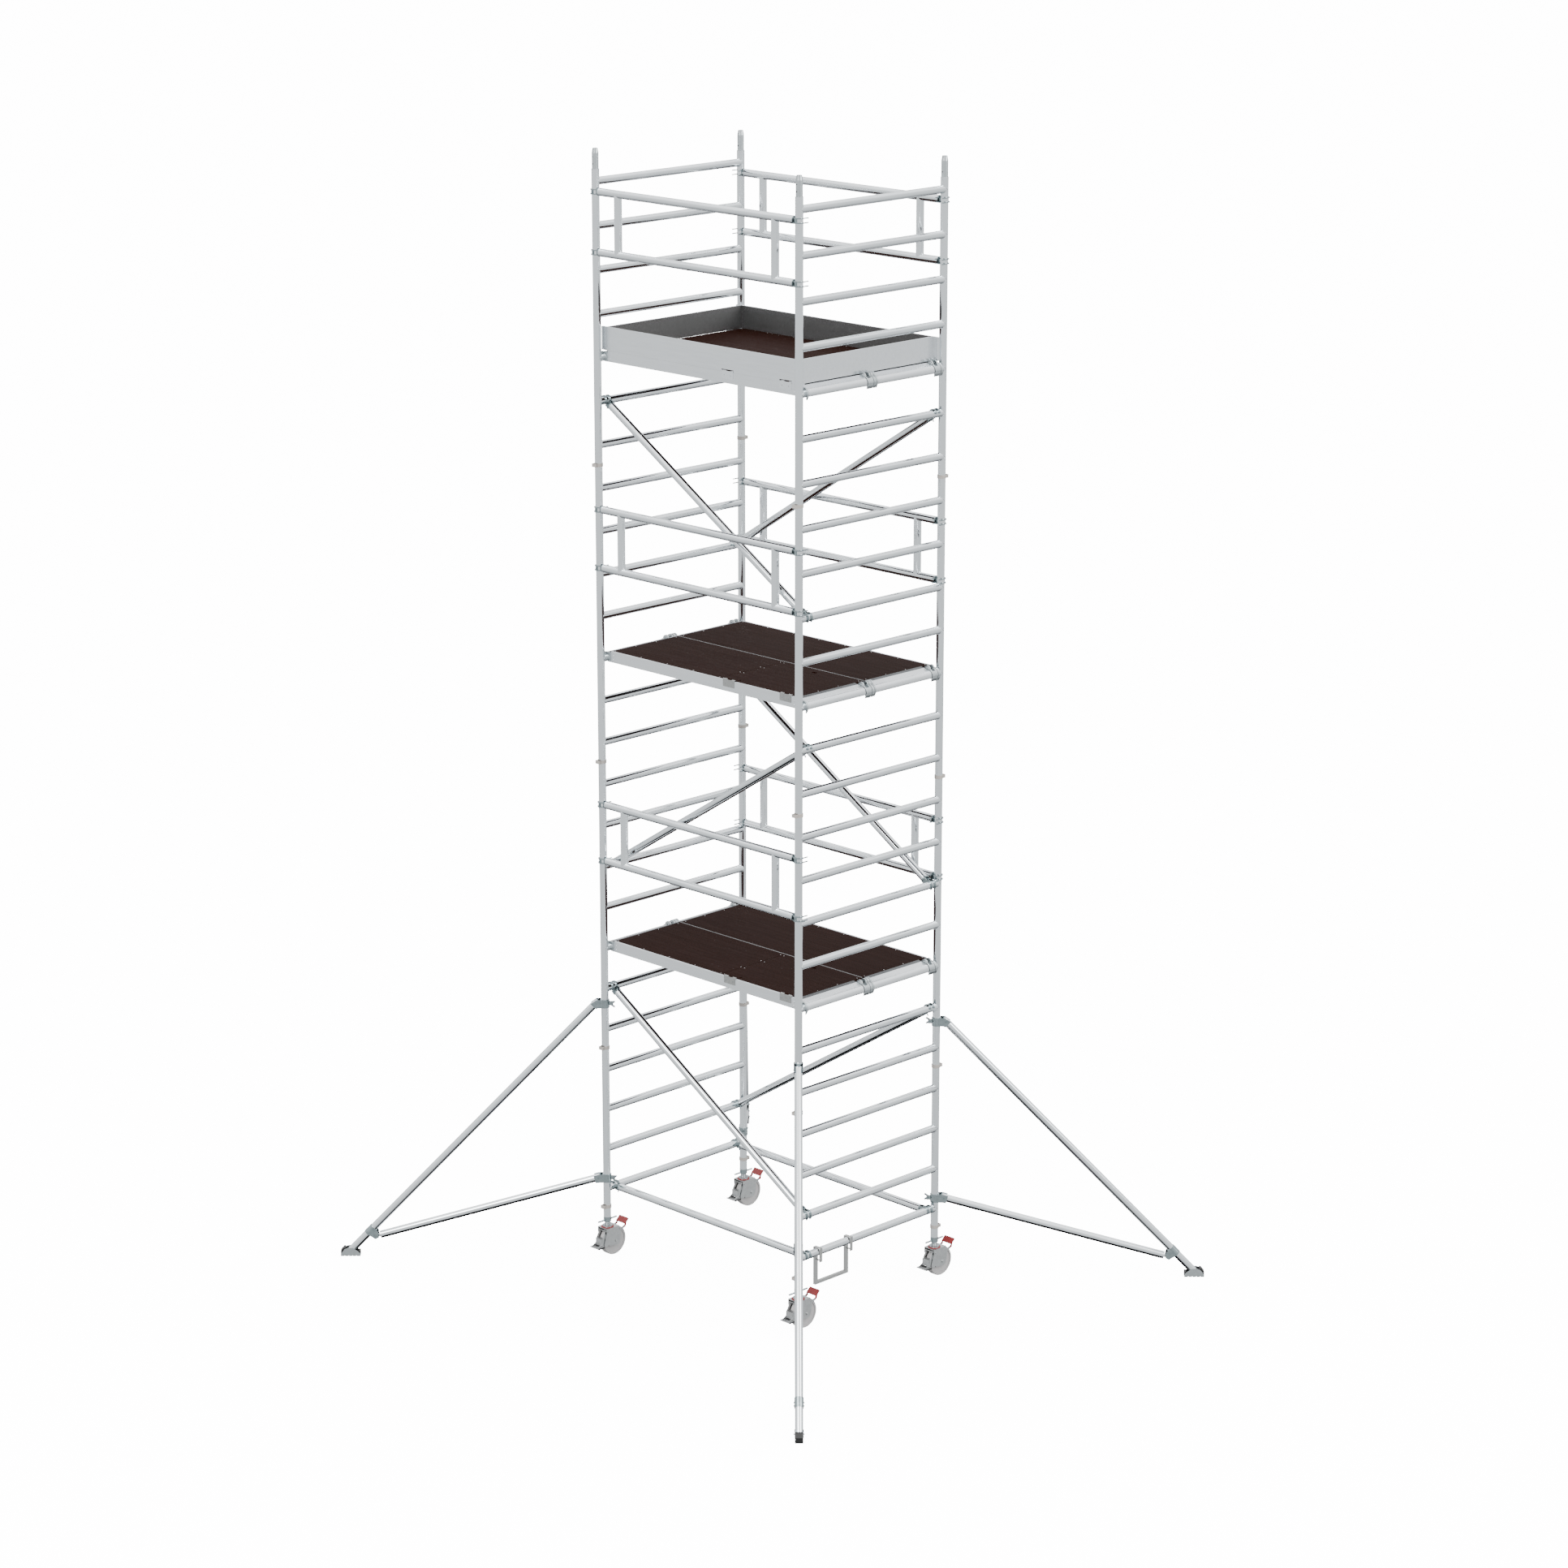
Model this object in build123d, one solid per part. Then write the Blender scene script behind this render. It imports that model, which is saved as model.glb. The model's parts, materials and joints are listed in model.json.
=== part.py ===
"""Mobile tower scaffold with castors, outriggers, platforms and guardrails.

Millimetres, +Z up. The origin is on the floor at the centre of the tower.
+X runs along the platforms, +Y along the rungs of the end frames.
"""
from build123d import *
from math import acos, atan2, cos, degrees, hypot, radians, sin
import os

os.makedirs("parts", exist_ok=True)

# ---------------------------------------------------------------- driving sizes
# Tower
BAY_LENGTH = 1800.0        # end frame to end frame, along X
POST_SPACING = 1275.0      # post axis to post axis, along Y
RUNG_PITCH = 280.0
FIRST_RUNG = 203.0         # lower tube end of a frame to its first rung
BASE_RUNGS = 4
FRAME_RUNGS = 7
STOREYS = 3                # full frames above each base frame
BASE_LIFT = 277.0          # floor to the lower tube end of the base frames

# Round tube used throughout
TUBE_D = 50.8
TUBE_WALL = 2.0

# Clearances
SEAT_GAP = 0.3             # between pieces that rest on or clip round each other
COPE_GAP = 0.15            # between a coped tube end and the tube it meets
RUN_GAP = 0.1              # radial, pin in hole
SWING_GAP = 0.3            # radial, clamp round a post

# Spigots and locking clips
SPIGOT_REACH = 130.0       # above the post
SPIGOT_DEPTH = 90.0        # inside the post
SPIGOT_D = 44.0
SPIGOT_TIP_D = 34.0
SPIGOT_TAPER = 30.0
SPIGOT_FIT = 0.1           # radial, spigot root in the post
PIN_HEIGHT = 75.0          # locking pin above the lower tube end
PIN_D = 8.0
PIN_TIP_R = 20.0           # pin tip to post axis
CLIP_HEIGHT = 22.0
CLIP_WALL = 3.0
CLIP_LOOP_REACH = 17.0     # loop beyond the post
CLIP_LOOP_HALF = 19.0

# Braces
BRACE_INSET = 70.0         # post axis to brace plane, along Y
BRACE_DROP = 4             # rungs from the upper to the lower hook
HOOK_REACH = 62.0          # rung axis to the end of the brace tube
HOOK_WALL = 9.0
HOOK_WIDTH = 40.0
CHEEK = 8.0
HOOK_ARM_H = 40.0
HOOK_BEAK = 12.0           # how far the beak closes below the rung axis
LATCH_D = 9.0
LATCH_DROP = 40.0
PLUG_LENGTH = 45.0

# Platforms
DECK_OVER_RUNG = 50.0      # deck surface above the rung axis
DECK_T = 12.0
DECK_END = 58.0            # rung axis to the end of the decks, along X
DECK_INSET = 49.5          # post axis to the outer edge of the decks, along Y
PLATFORM_INSET = 34.5      # post axis to the outer face of the side beams
PLATFORM_GAP = 3.0         # between the two platforms of a level
BEAM_H = 72.0
BEAM_W = 17.0
BEAM_WALL = 2.5
BEAM_LEDGE = 14.0
BEAM_UPSTAND = 3.0
END_R = 36.0               # outer radius of the end profile round the rung
END_LIP = 14.0             # how far it reaches below the rung axis
END_WALL = 4.0
CLAW_T = 12.0
CLAW_CAST_W = 50.0
CLAW_RING_W = 20.0
CLAW_R = 40.0
CLAW_TIP = 38.0            # pointed tip below the rung axis
CLAW_SPACE = 4.0
CREST_R = 25.0             # eye that stands above the claw
CREST_HOLE_R = 9.0
CREST_PLACE = (-13.0, 37.0)
BEAM_RIVET_D = 9.0
BEAM_RIVET_H = 1.5
BEAM_RIVET_INSET = 20.0
BEAM_RIVET_PITCH = 26.0

# Hatches
HATCH_LENGTH = 692.0       # from the deck's end, along X
HATCH_PLAY = 3.0
HINGE_INSETS = (597.0, 92.0)   # deck's end to the middle of each hinge, along X
HINGE_LENGTH = 100.0
HINGE_LEAF_H = 42.0
HINGE_LEAF_W = 46.0
HINGE_LEAF_T = 2.5
HINGE_PIN_D = 5.0
KNUCKLE_D = 10.0
FINGER_HOLE = (362.0, 42.0, 24.0)   # from the deck's end, length, width
FINGER_HOLE_INSET = 70.0   # hatch edge to the hole's centre, along Y

# Toe boards
TOE_HEIGHT = 150.0         # above the deck
TOE_T = 15.0
TOE_END = 2.0              # rung axis to the end of the long boards, along X
TOE_END_GAP = 3.0          # deck end to the end board

# Guardrails
RAIL_SPACING = 382.0
RAIL_OVER_RUNG = (983.0, 983.0, 1055.0)   # upper rail above the platform's rung
UPRIGHT_INSET = 205.0      # post axis to upright axis
RAIL_END = 41.0            # post axis to the end of a rail tube
CLAW_PLATE = 6.0
CLAW_PLATE_GAP = 22.0
CLAW_WALL = 8.0
CLAW_PRONG = 48.0          # post axis to the tips of the prongs, towards the rungs
KNOB_D = 14.0

# Access stirrup
STIRRUP_OFFSETS = (178.0, 458.0)   # from the front post axis
STIRRUP_W = 25.0
STIRRUP_WALL = 4.0
STIRRUP_OUTER_LEG = 95.0
STIRRUP_BOTTOM = 250.0     # above the floor
STIRRUP_LEG_T = 20.0
STIRRUP_BAR_H = 22.0
STIRRUP_BOLT_D = 10.0

# Castors
WHEEL_D = 200.0
WHEEL_W = 50.0
WHEEL_OFFSET = 45.0        # swivel axis to axle, along Y
WHEEL_ROUND = 7.0
WHEEL_RECESS = 5.0
HUB_D = 62.0
HUB_W = 60.0
RIM_INNER_D = 168.0
AXLE_D = 12.0
AXLE_HEAD_D = 20.0
AXLE_HEAD_T = 7.0
FORK_TOP = 206.0
FORK_PLATE_T = 4.0
FORK_HALF_X = 46.0
FORK_Y = (-46.0, 67.0)
SKIRT_BOTTOM = 165.0
FORK_T = 5.0
LEG_X = 33.0               # inner face of a fork leg
RACE_D = 84.0
RACE_T = 5.0
FLANGE_D = 70.0
FLANGE_T = 6.0
KINGPIN_D = 20.0
KINGPIN_HEAD_D = 28.0
KINGPIN_HEAD_T = 3.5
PLAY = 0.15                # axial play of the swivel
SPINDLE_D = 38.0
SPINDLE_TRAVEL = 200.0
SPINDLE_ENGAGED = 150.0    # left inside the post at full travel
NUT_D = 52.0
NUT_H = 32.0
NUT_BAR_D = 12.0
NUT_BAR_HALF = 82.0
NUT_BAR_Z = 10.0           # bar axis above the nut's lower face
NUT_FIT = 0.2

# Brake pedal and release lever
PEDAL_PIVOT = (-36.0, 184.0)
PEDAL_PIN_D = 8.0
PEDAL_ARM_X = 28.5         # inner face of an arm
PEDAL_ARM_T = 3.0
PEDAL_PLATE = (-120.0, -66.0)
PEDAL_PLATE_Z = 78.0
PEDAL_PLATE_T = 5.0
PEDAL_HALF_X = 45.0
SHOE_GAP = 1.0
SHOE_T = 9.0
SHOE_ANGLE = 11.0
LEVER_PIVOT = (78.0, 172.0)
LEVER_X = 39.0             # inner face of a lever leg
LEVER_T = 3.0
LEVER_KNEE = (125.0, 190.0)
PADDLE_LOW = (120.0, 202.0)
PADDLE_TIP = (153.0, 233.0)
PADDLE_T = 9.0

# Outriggers: distances from the post axis, and heights above the floor
STRUT_TOP = (61.0, 1777.0)
STRUT_FOOT = (1723.0, 33.0)
ARM_TOP = (60.0, 553.0)
ARM_FOOT = (1544.0, 140.0)
SLEEVE_AT = 60.0           # sleeve centre from the arm pivot's foot on the strut axis
CLAMP_H = 55.0
CLAMP_WALL = 5.0
CLAMP_EAR = 12.0
BRACKET_T = 3.0
BRACKET_PIN_D = 10.0
SLEEVE_LENGTH = 62.0
ARM_END = 26.0             # arm pivot to the arm's tube end
FOOT_LENGTH = 132.0
FOOT_HEIGHT = 66.0
FOOT_TEETH = 5
TOOTH_H = 5.0

# ---------------------------------------------------------------- derived places
TUBE_R = TUBE_D / 2
BORE_R = TUBE_R - TUBE_WALL
HALF_X = BAY_LENGTH / 2
HALF_Y = POST_SPACING / 2
DECK_HALF_X = HALF_X - DECK_END
DECK_HALF_Y = HALF_Y - DECK_INSET
PLATFORM_HALF_Y = HALF_Y - PLATFORM_INSET
HATCH_START = DECK_HALF_X - HATCH_LENGTH
HATCH_HINGES = [DECK_HALF_X - inset for inset in HINGE_INSETS]
TOE_HALF_X = HALF_X - TOE_END
PLATFORM_RUNGS = [BASE_RUNGS + 2 + FRAME_RUNGS * level for level in range(STOREYS)]
BASE_HEIGHT = BASE_RUNGS * RUNG_PITCH
FRAME_HEIGHT = FRAME_RUNGS * RUNG_PITCH
NUT_TOP = BASE_LIFT - SEAT_GAP
NUT_BOTTOM = NUT_TOP - NUT_H
RACE_TOP = FORK_TOP + RACE_T
FLANGE_BOTTOM = RACE_TOP + PLAY
CORNERS = {"front": (HALF_X, -HALF_Y, -45.0), "right": (HALF_X, HALF_Y, 45.0),
           "left": (-HALF_X, -HALF_Y, -135.0), "back": (-HALF_X, HALF_Y, 135.0)}


def rung_z(index):
    """Height of a rung's axis; rung 0 is the lowest."""
    return BASE_LIFT + FIRST_RUNG + index * RUNG_PITCH


# ---------------------------------------------------------------- helpers
def save(node, solids):
    """Write the solids of one node to its STEP file."""
    flat = []
    for item in solids:
        flat.extend(item.solids())
    shape = flat[0] if len(flat) == 1 else Compound(children=flat)
    shape.label = node
    export_step(shape, f"parts/{node}.step")


def block(x0, x1, y0, y1, z0, z1):
    """Box between two corners."""
    return Pos((x0 + x1) / 2, (y0 + y1) / 2, (z0 + z1) / 2) * Box(x1 - x0, y1 - y0, z1 - z0)


def rod(start, end, radius):
    """Solid cylinder between two points."""
    axis = Vector(*end) - Vector(*start)
    plane = Plane(origin=start, z_dir=axis)
    return extrude(plane * Circle(radius), axis.length)


def tube(start, end, radius=TUBE_R, bore=BORE_R):
    """Hollow tube between two points."""
    axis = Vector(*end) - Vector(*start)
    plane = Plane(origin=start, z_dir=axis)
    return extrude(plane * (Circle(radius) - Circle(bore)), axis.length)


def slab_xz(points, y0, y1):
    """Prism with an outline in XZ, from y0 to y1."""
    face = make_face(Polyline(*[(x, z) for x, z in points], close=True))
    return extrude(Plane(origin=(0, y1, 0), x_dir=(1, 0, 0), z_dir=(0, -1, 0)) * face, y1 - y0)


def slab_yz(points, x0, x1):
    """Prism with an outline in YZ, from x0 to x1."""
    face = make_face(Polyline(*[(y, z) for y, z in points], close=True))
    return extrude(Plane(origin=(x0, 0, 0), x_dir=(0, 1, 0), z_dir=(1, 0, 0)) * face, x1 - x0)


def disc_y(x, z, radius, y0, y1):
    """Cylinder along Y."""
    return rod((x, y0, z), (x, y1, z), radius)


def disc_x(y, z, radius, x0, x1):
    """Cylinder along X."""
    return rod((x0, y, z), (x1, y, z), radius)


# ---------------------------------------------------------------- end frames
def end_frame(rungs):
    """Two posts and their rungs, in the plane x = 0 with the lower tube ends at z = 0."""
    height = rungs * RUNG_PITCH - SEAT_GAP
    pieces = []
    for side in (-1, 1):
        y = side * HALF_Y
        post = tube((0, y, 0), (0, y, height))
        post -= rod((0, y, PIN_HEIGHT), (0, y + side * TUBE_D, PIN_HEIGHT), PIN_D / 2 + SEAT_GAP)
        pieces.append(post)
    rung = tube((0, -HALF_Y, 0), (0, HALF_Y, 0))
    for side in (-1, 1):
        rung -= rod((0, side * HALF_Y, -TUBE_D), (0, side * HALF_Y, TUBE_D), TUBE_R + COPE_GAP)
    rung = max(rung.solids(), key=lambda solid: solid.volume)
    pieces += [Pos(0, 0, FIRST_RUNG + index * RUNG_PITCH) * rung for index in range(rungs)]
    return pieces


FRAME_BASES = [BASE_LIFT] + [BASE_LIFT + BASE_HEIGHT + FRAME_HEIGHT * i for i in range(STOREYS)]
FRAME_NAMES = ["base", "lower", "middle", "top"]
BASE_FRAME = end_frame(BASE_RUNGS)
FULL_FRAME = end_frame(FRAME_RUNGS)
for index, name in enumerate(FRAME_NAMES):
    pieces = BASE_FRAME if index == 0 else FULL_FRAME
    for side_name, x in (("left", -HALF_X), ("right", HALF_X)):
        save(f"end_frame_{side_name}_{name}", [Pos(x, 0, FRAME_BASES[index]) * p for p in pieces])


# ---------------------------------------------------------------- spigots and locking clips
def spigot(side):
    """Spigot of a post with its cross rivet; z = 0 is the post's upper end."""
    straight = SPIGOT_REACH - SPIGOT_TAPER
    body = rod((0, 0, -SPIGOT_DEPTH), (0, 0, -SEAT_GAP), BORE_R - SPIGOT_FIT)
    body += rod((0, 0, -SEAT_GAP), (0, 0, straight), SPIGOT_D / 2)
    body += Pos(0, 0, straight + SPIGOT_TAPER / 2) * Cone(SPIGOT_D / 2, SPIGOT_TIP_D / 2, SPIGOT_TAPER)
    body -= rod((0, 0, -SPIGOT_DEPTH), (0, 0, SPIGOT_REACH), SPIGOT_TIP_D / 2 - TUBE_WALL)
    body -= rod((0, 0, PIN_HEIGHT), (0, side * SPIGOT_D, PIN_HEIGHT), PIN_D / 2 + SEAT_GAP)
    return body


def locking_clip(side):
    """Spring band with its locking pin; z = 0 is the pin's axis, the loop points outward."""
    def outline(grow):
        hug = Circle(TUBE_R + SEAT_GAP + grow)
        depth = CLIP_LOOP_REACH - CLIP_WALL
        loop = Pos(0, side * (TUBE_R + depth) / 2) * Rectangle(
            2 * (CLIP_LOOP_HALF - CLIP_WALL + grow), TUBE_R + depth)
        cap = Pos(0, side * (TUBE_R + depth)) * Rectangle(
            2 * (CLIP_LOOP_HALF - CLIP_WALL + grow), 2 * grow) if grow else None
        return hug + loop + cap if cap else hug + loop
    band = extrude(outline(CLIP_WALL) - outline(0.0), CLIP_HEIGHT)
    band = Pos(0, 0, -CLIP_HEIGHT / 2) * band
    head_y = side * (TUBE_R + CLIP_LOOP_REACH - CLIP_WALL)
    pin = rod((0, side * PIN_TIP_R, 0), (0, head_y, 0), PIN_D / 2)
    return band + pin


TOPS = [base - SEAT_GAP for base in FRAME_BASES[1:]]
TOPS.append(FRAME_BASES[-1] + FRAME_HEIGHT - SEAT_GAP)
spigots, clips = [], []
for side in (-1, 1):
    one_spigot, one_clip = spigot(side), locking_clip(side)
    for x in (-HALF_X, HALF_X):
        spigots += [Pos(x, side * HALF_Y, top) * one_spigot for top in TOPS]
        clips += [Pos(x, side * HALF_Y, base + PIN_HEIGHT) * one_clip for base in FRAME_BASES]
save("spigots", spigots)
save("locking_clips", clips)


# ---------------------------------------------------------------- braces
def brace_hook():
    """Cast hook for a rung at the origin, its tube along +X, its mouth towards -Z."""
    outer = TUBE_R + SEAT_GAP + HOOK_WALL
    half = HOOK_WIDTH / 2
    profile = Circle(outer) + Pos(HOOK_REACH / 2, 0) * Rectangle(HOOK_REACH, HOOK_ARM_H)
    profile -= Circle(TUBE_R + SEAT_GAP)
    profile -= Pos(0, -outer) * Rectangle(2 * (TUBE_R + SEAT_GAP), 2 * outer)
    profile -= Pos(-outer, -outer - HOOK_BEAK) * Rectangle(2 * outer, 2 * outer)
    plane = Plane(origin=(0, half, 0), x_dir=(1, 0, 0), z_dir=(0, -1, 0))
    hook = max(extrude(plane * profile, HOOK_WIDTH).solids(), key=lambda solid: solid.volume)
    hook -= block(-outer, HOOK_REACH - CHEEK, -half + CHEEK, half - CHEEK, -outer, outer)
    hook += rod((HOOK_REACH - CHEEK, 0, 0), (HOOK_REACH - SEAT_GAP, 0, 0), TUBE_R)
    hook += rod((HOOK_REACH - CHEEK, 0, 0), (HOOK_REACH + PLUG_LENGTH, 0, 0), BORE_R - RUN_GAP)
    latch_x = TUBE_R + SEAT_GAP + LATCH_D
    latch = rod((latch_x, 0, HOOK_ARM_H / 2), (latch_x, 0, -LATCH_DROP), LATCH_D / 2)
    latch += block(latch_x, HOOK_REACH - CHEEK, -half + CHEEK, half - CHEEK, 0, CHEEK)
    return hook + latch


HOOK = brace_hook()
HOOK_FLIPPED = mirror(HOOK, Plane.XY)


def brace(x0, z0, x1, z1, y):
    """Brace tube between two rungs with a hook on each; both mouths point down."""
    dx, dz = x1 - x0, z1 - z0
    length = hypot(dx, dz)
    ux, uz = dx / length, dz / length
    start = (x0 + ux * HOOK_REACH, y, z0 + uz * HOOK_REACH)
    end = (x1 - ux * HOOK_REACH, y, z1 - uz * HOOK_REACH)
    turn = degrees(atan2(-dz, dx))
    first = Pos(x0, y, z0) * Rot(0, turn, 0) * HOOK
    second = Pos(x1, y, z1) * Rot(0, turn + 180, 0) * HOOK_FLIPPED
    return tube(start, end), [first, second]


brace_tubes, brace_hooks = [], []
for side in (-1, 1):
    # the diagonals of a side run to and fro, and those of the other side are crossed with them
    runs = [(rung - 1, rung - 1 - BRACE_DROP, side * (-1) ** level)
            for level, rung in enumerate(PLATFORM_RUNGS)] + [(0, 0, side)]
    for upper, lower, high_end in runs:
        one_tube, two_hooks = brace(-HALF_X, rung_z(upper), HALF_X, rung_z(lower),
                                    side * (HALF_Y - BRACE_INSET))
        if high_end > 0:
            one_tube = mirror(one_tube, Plane.YZ)
            two_hooks = [mirror(hook, Plane.YZ) for hook in two_hooks]
        brace_tubes.append(one_tube)
        brace_hooks += two_hooks
save("brace_tubes", brace_tubes)
save("brace_hooks", brace_hooks)


# ---------------------------------------------------------------- guardrails
def guardrail(y):
    """Two rails and two uprights in a plane of constant y; z = 0 is the upper rail's axis."""
    x_end = HALF_X - RAIL_END
    rails = [tube((-x_end, y, z), (x_end, y, z)) for z in (0, -RAIL_SPACING)]
    uprights = []
    for x in (-HALF_X + UPRIGHT_INSET, HALF_X - UPRIGHT_INSET):
        upright = tube((x, y, -RAIL_SPACING), (x, y, 0))
        for z in (0, -RAIL_SPACING):
            upright -= rod((x - TUBE_D, y, z), (x + TUBE_D, y, z), TUBE_R + COPE_GAP)
        uprights.append(max(upright.solids(), key=lambda solid: solid.volume))
    return rails + uprights


def guardrail_claw(x_side, y_side):
    """Claw for the post at the origin; its rail leaves towards -x_side, its prongs stand inward."""
    seat = TUBE_R + SEAT_GAP
    outer = seat + CLAW_WALL
    middle = Pos(0, -y_side * CLAW_PRONG / 2)
    ring = Circle(outer) + Pos(-x_side * RAIL_END / 2, 0) * Rectangle(RAIL_END, HOOK_ARM_H)
    ring += middle * Rectangle(2 * outer, CLAW_PRONG)
    ring -= Circle(seat)
    ring -= middle * Rectangle(2 * seat, CLAW_PRONG)
    plate = extrude(ring, CLAW_PLATE)
    plate = max(plate.solids(), key=lambda solid: solid.volume)
    low = -CLAW_PLATE_GAP / 2 - CLAW_PLATE
    claw = Pos(0, 0, low) * plate + Pos(0, 0, CLAW_PLATE_GAP / 2) * plate
    inner_end = -x_side * (RAIL_END - SEAT_GAP)
    claw += rod((inner_end + x_side * CLAW_PLATE, 0, 0), (inner_end, 0, 0), TUBE_R)
    claw += rod((inner_end, 0, 0), (inner_end - x_side * PLUG_LENGTH, 0, 0), BORE_R - RUN_GAP)
    knob_y = y_side * (outer - CLAW_WALL / 2)
    claw += rod((0, knob_y, low), (0, knob_y, -low), KNOB_D / 2) - rod(
        (0, 0, low), (0, 0, -low), TUBE_R + SEAT_GAP)
    return claw


rails, rail_claws = [], []
for y_side in (-1, 1):
    one_rail = guardrail(y_side * HALF_Y)
    claws = {x_side: guardrail_claw(x_side, y_side) for x_side in (-1, 1)}
    for rung, over in zip(PLATFORM_RUNGS, RAIL_OVER_RUNG):
        top = rung_z(rung) + over
        rails += [Pos(0, 0, top) * piece for piece in one_rail]
        for z in (top, top - RAIL_SPACING):
            rail_claws += [Pos(x_side * HALF_X, y_side * HALF_Y, z) * claw
                           for x_side, claw in claws.items()]
save("guardrails", rails)
save("guardrail_claws", rail_claws)

# ---------------------------------------------------------------- platforms
# Every piece of a platform is built at its level's rung height, z = 0 at the rung axis.
DECK_BOTTOM = DECK_OVER_RUNG - DECK_T
BEAM_BOTTOM = DECK_OVER_RUNG - BEAM_H
LEDGE_T = BEAM_WALL
DECK_INNER = PLATFORM_GAP / 2 + BEAM_UPSTAND + SEAT_GAP


def side_beam(outer, rivet_rows=()):
    """Hollow side beam of the platform at +Y: outer edge if outer, else centre line edge."""
    if outer:
        y0, y1, top = DECK_HALF_Y + SEAT_GAP, PLATFORM_HALF_Y, DECK_OVER_RUNG
        ledge0, ledge1 = y0 - BEAM_LEDGE, y0
    else:
        y0 = PLATFORM_GAP / 2
        y1, top = y0 + BEAM_W, DECK_BOTTOM - SEAT_GAP
        ledge0, ledge1 = y1, y1 + BEAM_LEDGE
    section = Pos((y0 + y1) / 2, (BEAM_BOTTOM + top) / 2) * Rectangle(y1 - y0, top - BEAM_BOTTOM)
    section -= Pos((y0 + y1) / 2, (BEAM_BOTTOM + top) / 2) * Rectangle(
        y1 - y0 - 2 * BEAM_WALL, top - BEAM_BOTTOM - 2 * BEAM_WALL)
    ledge_z = DECK_BOTTOM - SEAT_GAP - LEDGE_T / 2
    section += Pos((ledge0 + ledge1) / 2, ledge_z) * Rectangle(ledge1 - ledge0, LEDGE_T)
    if not outer:
        section += Pos(y0 + BEAM_UPSTAND / 2, DECK_OVER_RUNG - DECK_T / 2 - SEAT_GAP / 2) * Rectangle(
            BEAM_UPSTAND, DECK_T + SEAT_GAP)
    plane = Plane(origin=(-DECK_HALF_X, 0, 0), x_dir=(0, 1, 0), z_dir=(1, 0, 0))
    beam = extrude(plane * section, 2 * DECK_HALF_X)
    for x in (-DECK_HALF_X + BEAM_RIVET_INSET, DECK_HALF_X - BEAM_RIVET_INSET):
        for z in rivet_rows:
            beam += rod((x, y1 - BEAM_WALL, z), (x, y1 + BEAM_RIVET_H, z), BEAM_RIVET_D / 2)
    return beam


def end_outline():
    """Outline of the end profile in XZ, the rung at the origin, the deck towards -X."""
    back = HALF_X - DECK_HALF_X - SEAT_GAP
    lead = atan2(DECK_OVER_RUNG, -back) - acos(END_R / hypot(back, DECK_OVER_RUNG))
    shape = Circle(END_R) + make_face(Polyline(
        (-back, -END_LIP), (-back, DECK_OVER_RUNG), (END_R * cos(lead), END_R * sin(lead)),
        (0, -END_LIP), close=True))
    shape -= Pos(0, -END_LIP - END_R) * Rectangle(4 * END_R, 2 * END_R)
    chamber_x = (END_R + back) / 2
    chamber_top = DECK_OVER_RUNG - 3 * END_WALL
    shape -= Pos(-chamber_x, (chamber_top - END_LIP + END_WALL) / 2) * Rectangle(
        back - END_R - 2 * END_WALL, chamber_top + END_LIP - END_WALL)
    return shape - Circle(TUBE_R + SEAT_GAP)


def end_profile(y0, y1):
    """Hollow end profile over the rung, from y0 to y1."""
    plane = Plane(origin=(HALF_X, y1, 0), x_dir=(1, 0, 0), z_dir=(0, -1, 0))
    return extrude(plane * end_outline(), y1 - y0)


def claw_plate(y0, y1, crest):
    """Cast claw over the rung with a pointed uplift lock on its outer side."""
    back = HALF_X - DECK_HALF_X - SEAT_GAP
    seat = TUBE_R + SEAT_GAP
    hook = disc_y(HALF_X, 0, CLAW_R, y0, y1) + block(
        HALF_X - back, HALF_X, y0, y1, BEAM_BOTTOM, CLAW_R)
    hook -= block(HALF_X - CLAW_R, HALF_X + CLAW_R, y0, y1, -CLAW_R - CLAW_TIP, 0)
    hook += block(HALF_X - back, HALF_X - seat, y0, y1, BEAM_BOTTOM, 0)
    tip = [(seat, 0), (CLAW_R, 0), (CLAW_R - CLAW_SPACE, -CLAW_TIP / 2), (seat, -CLAW_TIP)]
    hook += slab_xz([(HALF_X + x, z) for x, z in tip], y0, y1)
    if crest:
        crest_x, crest_z = CREST_PLACE
        hook += disc_y(HALF_X + crest_x, crest_z, CREST_R, y0, y1)
        hook -= disc_y(HALF_X + crest_x, crest_z + SEAT_GAP, CREST_HOLE_R, y0, y1)
    hook -= disc_y(HALF_X, 0, seat, y0, y1)
    return max(hook.solids(), key=lambda solid: solid.volume)


FAR_EDGE = PLATFORM_GAP / 2
PLATFORM_WIDTH = PLATFORM_HALF_Y - FAR_EDGE


def platform_ends(outer_first):
    """End profile and claws of a platform whose low edge is at y = 0, at its +X end."""
    width = PLATFORM_WIDTH
    cast_end = width - CLAW_RING_W - CLAW_SPACE
    cast_start = cast_end - CLAW_CAST_W
    profile = end_profile(CLAW_T + CLAW_SPACE, cast_start - CLAW_SPACE)
    small = claw_plate(0, CLAW_T, not outer_first)
    cast = claw_plate(cast_start, cast_end, True)
    cast -= block(HALF_X - END_R, HALF_X + CLAW_R, cast_start + CLAW_T, cast_end - CLAW_T,
                  TUBE_R + END_WALL, CLAW_R + CREST_R)
    ring = claw_plate(width - CLAW_RING_W, width, outer_first)
    return profile, [small, cast, ring]


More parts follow.
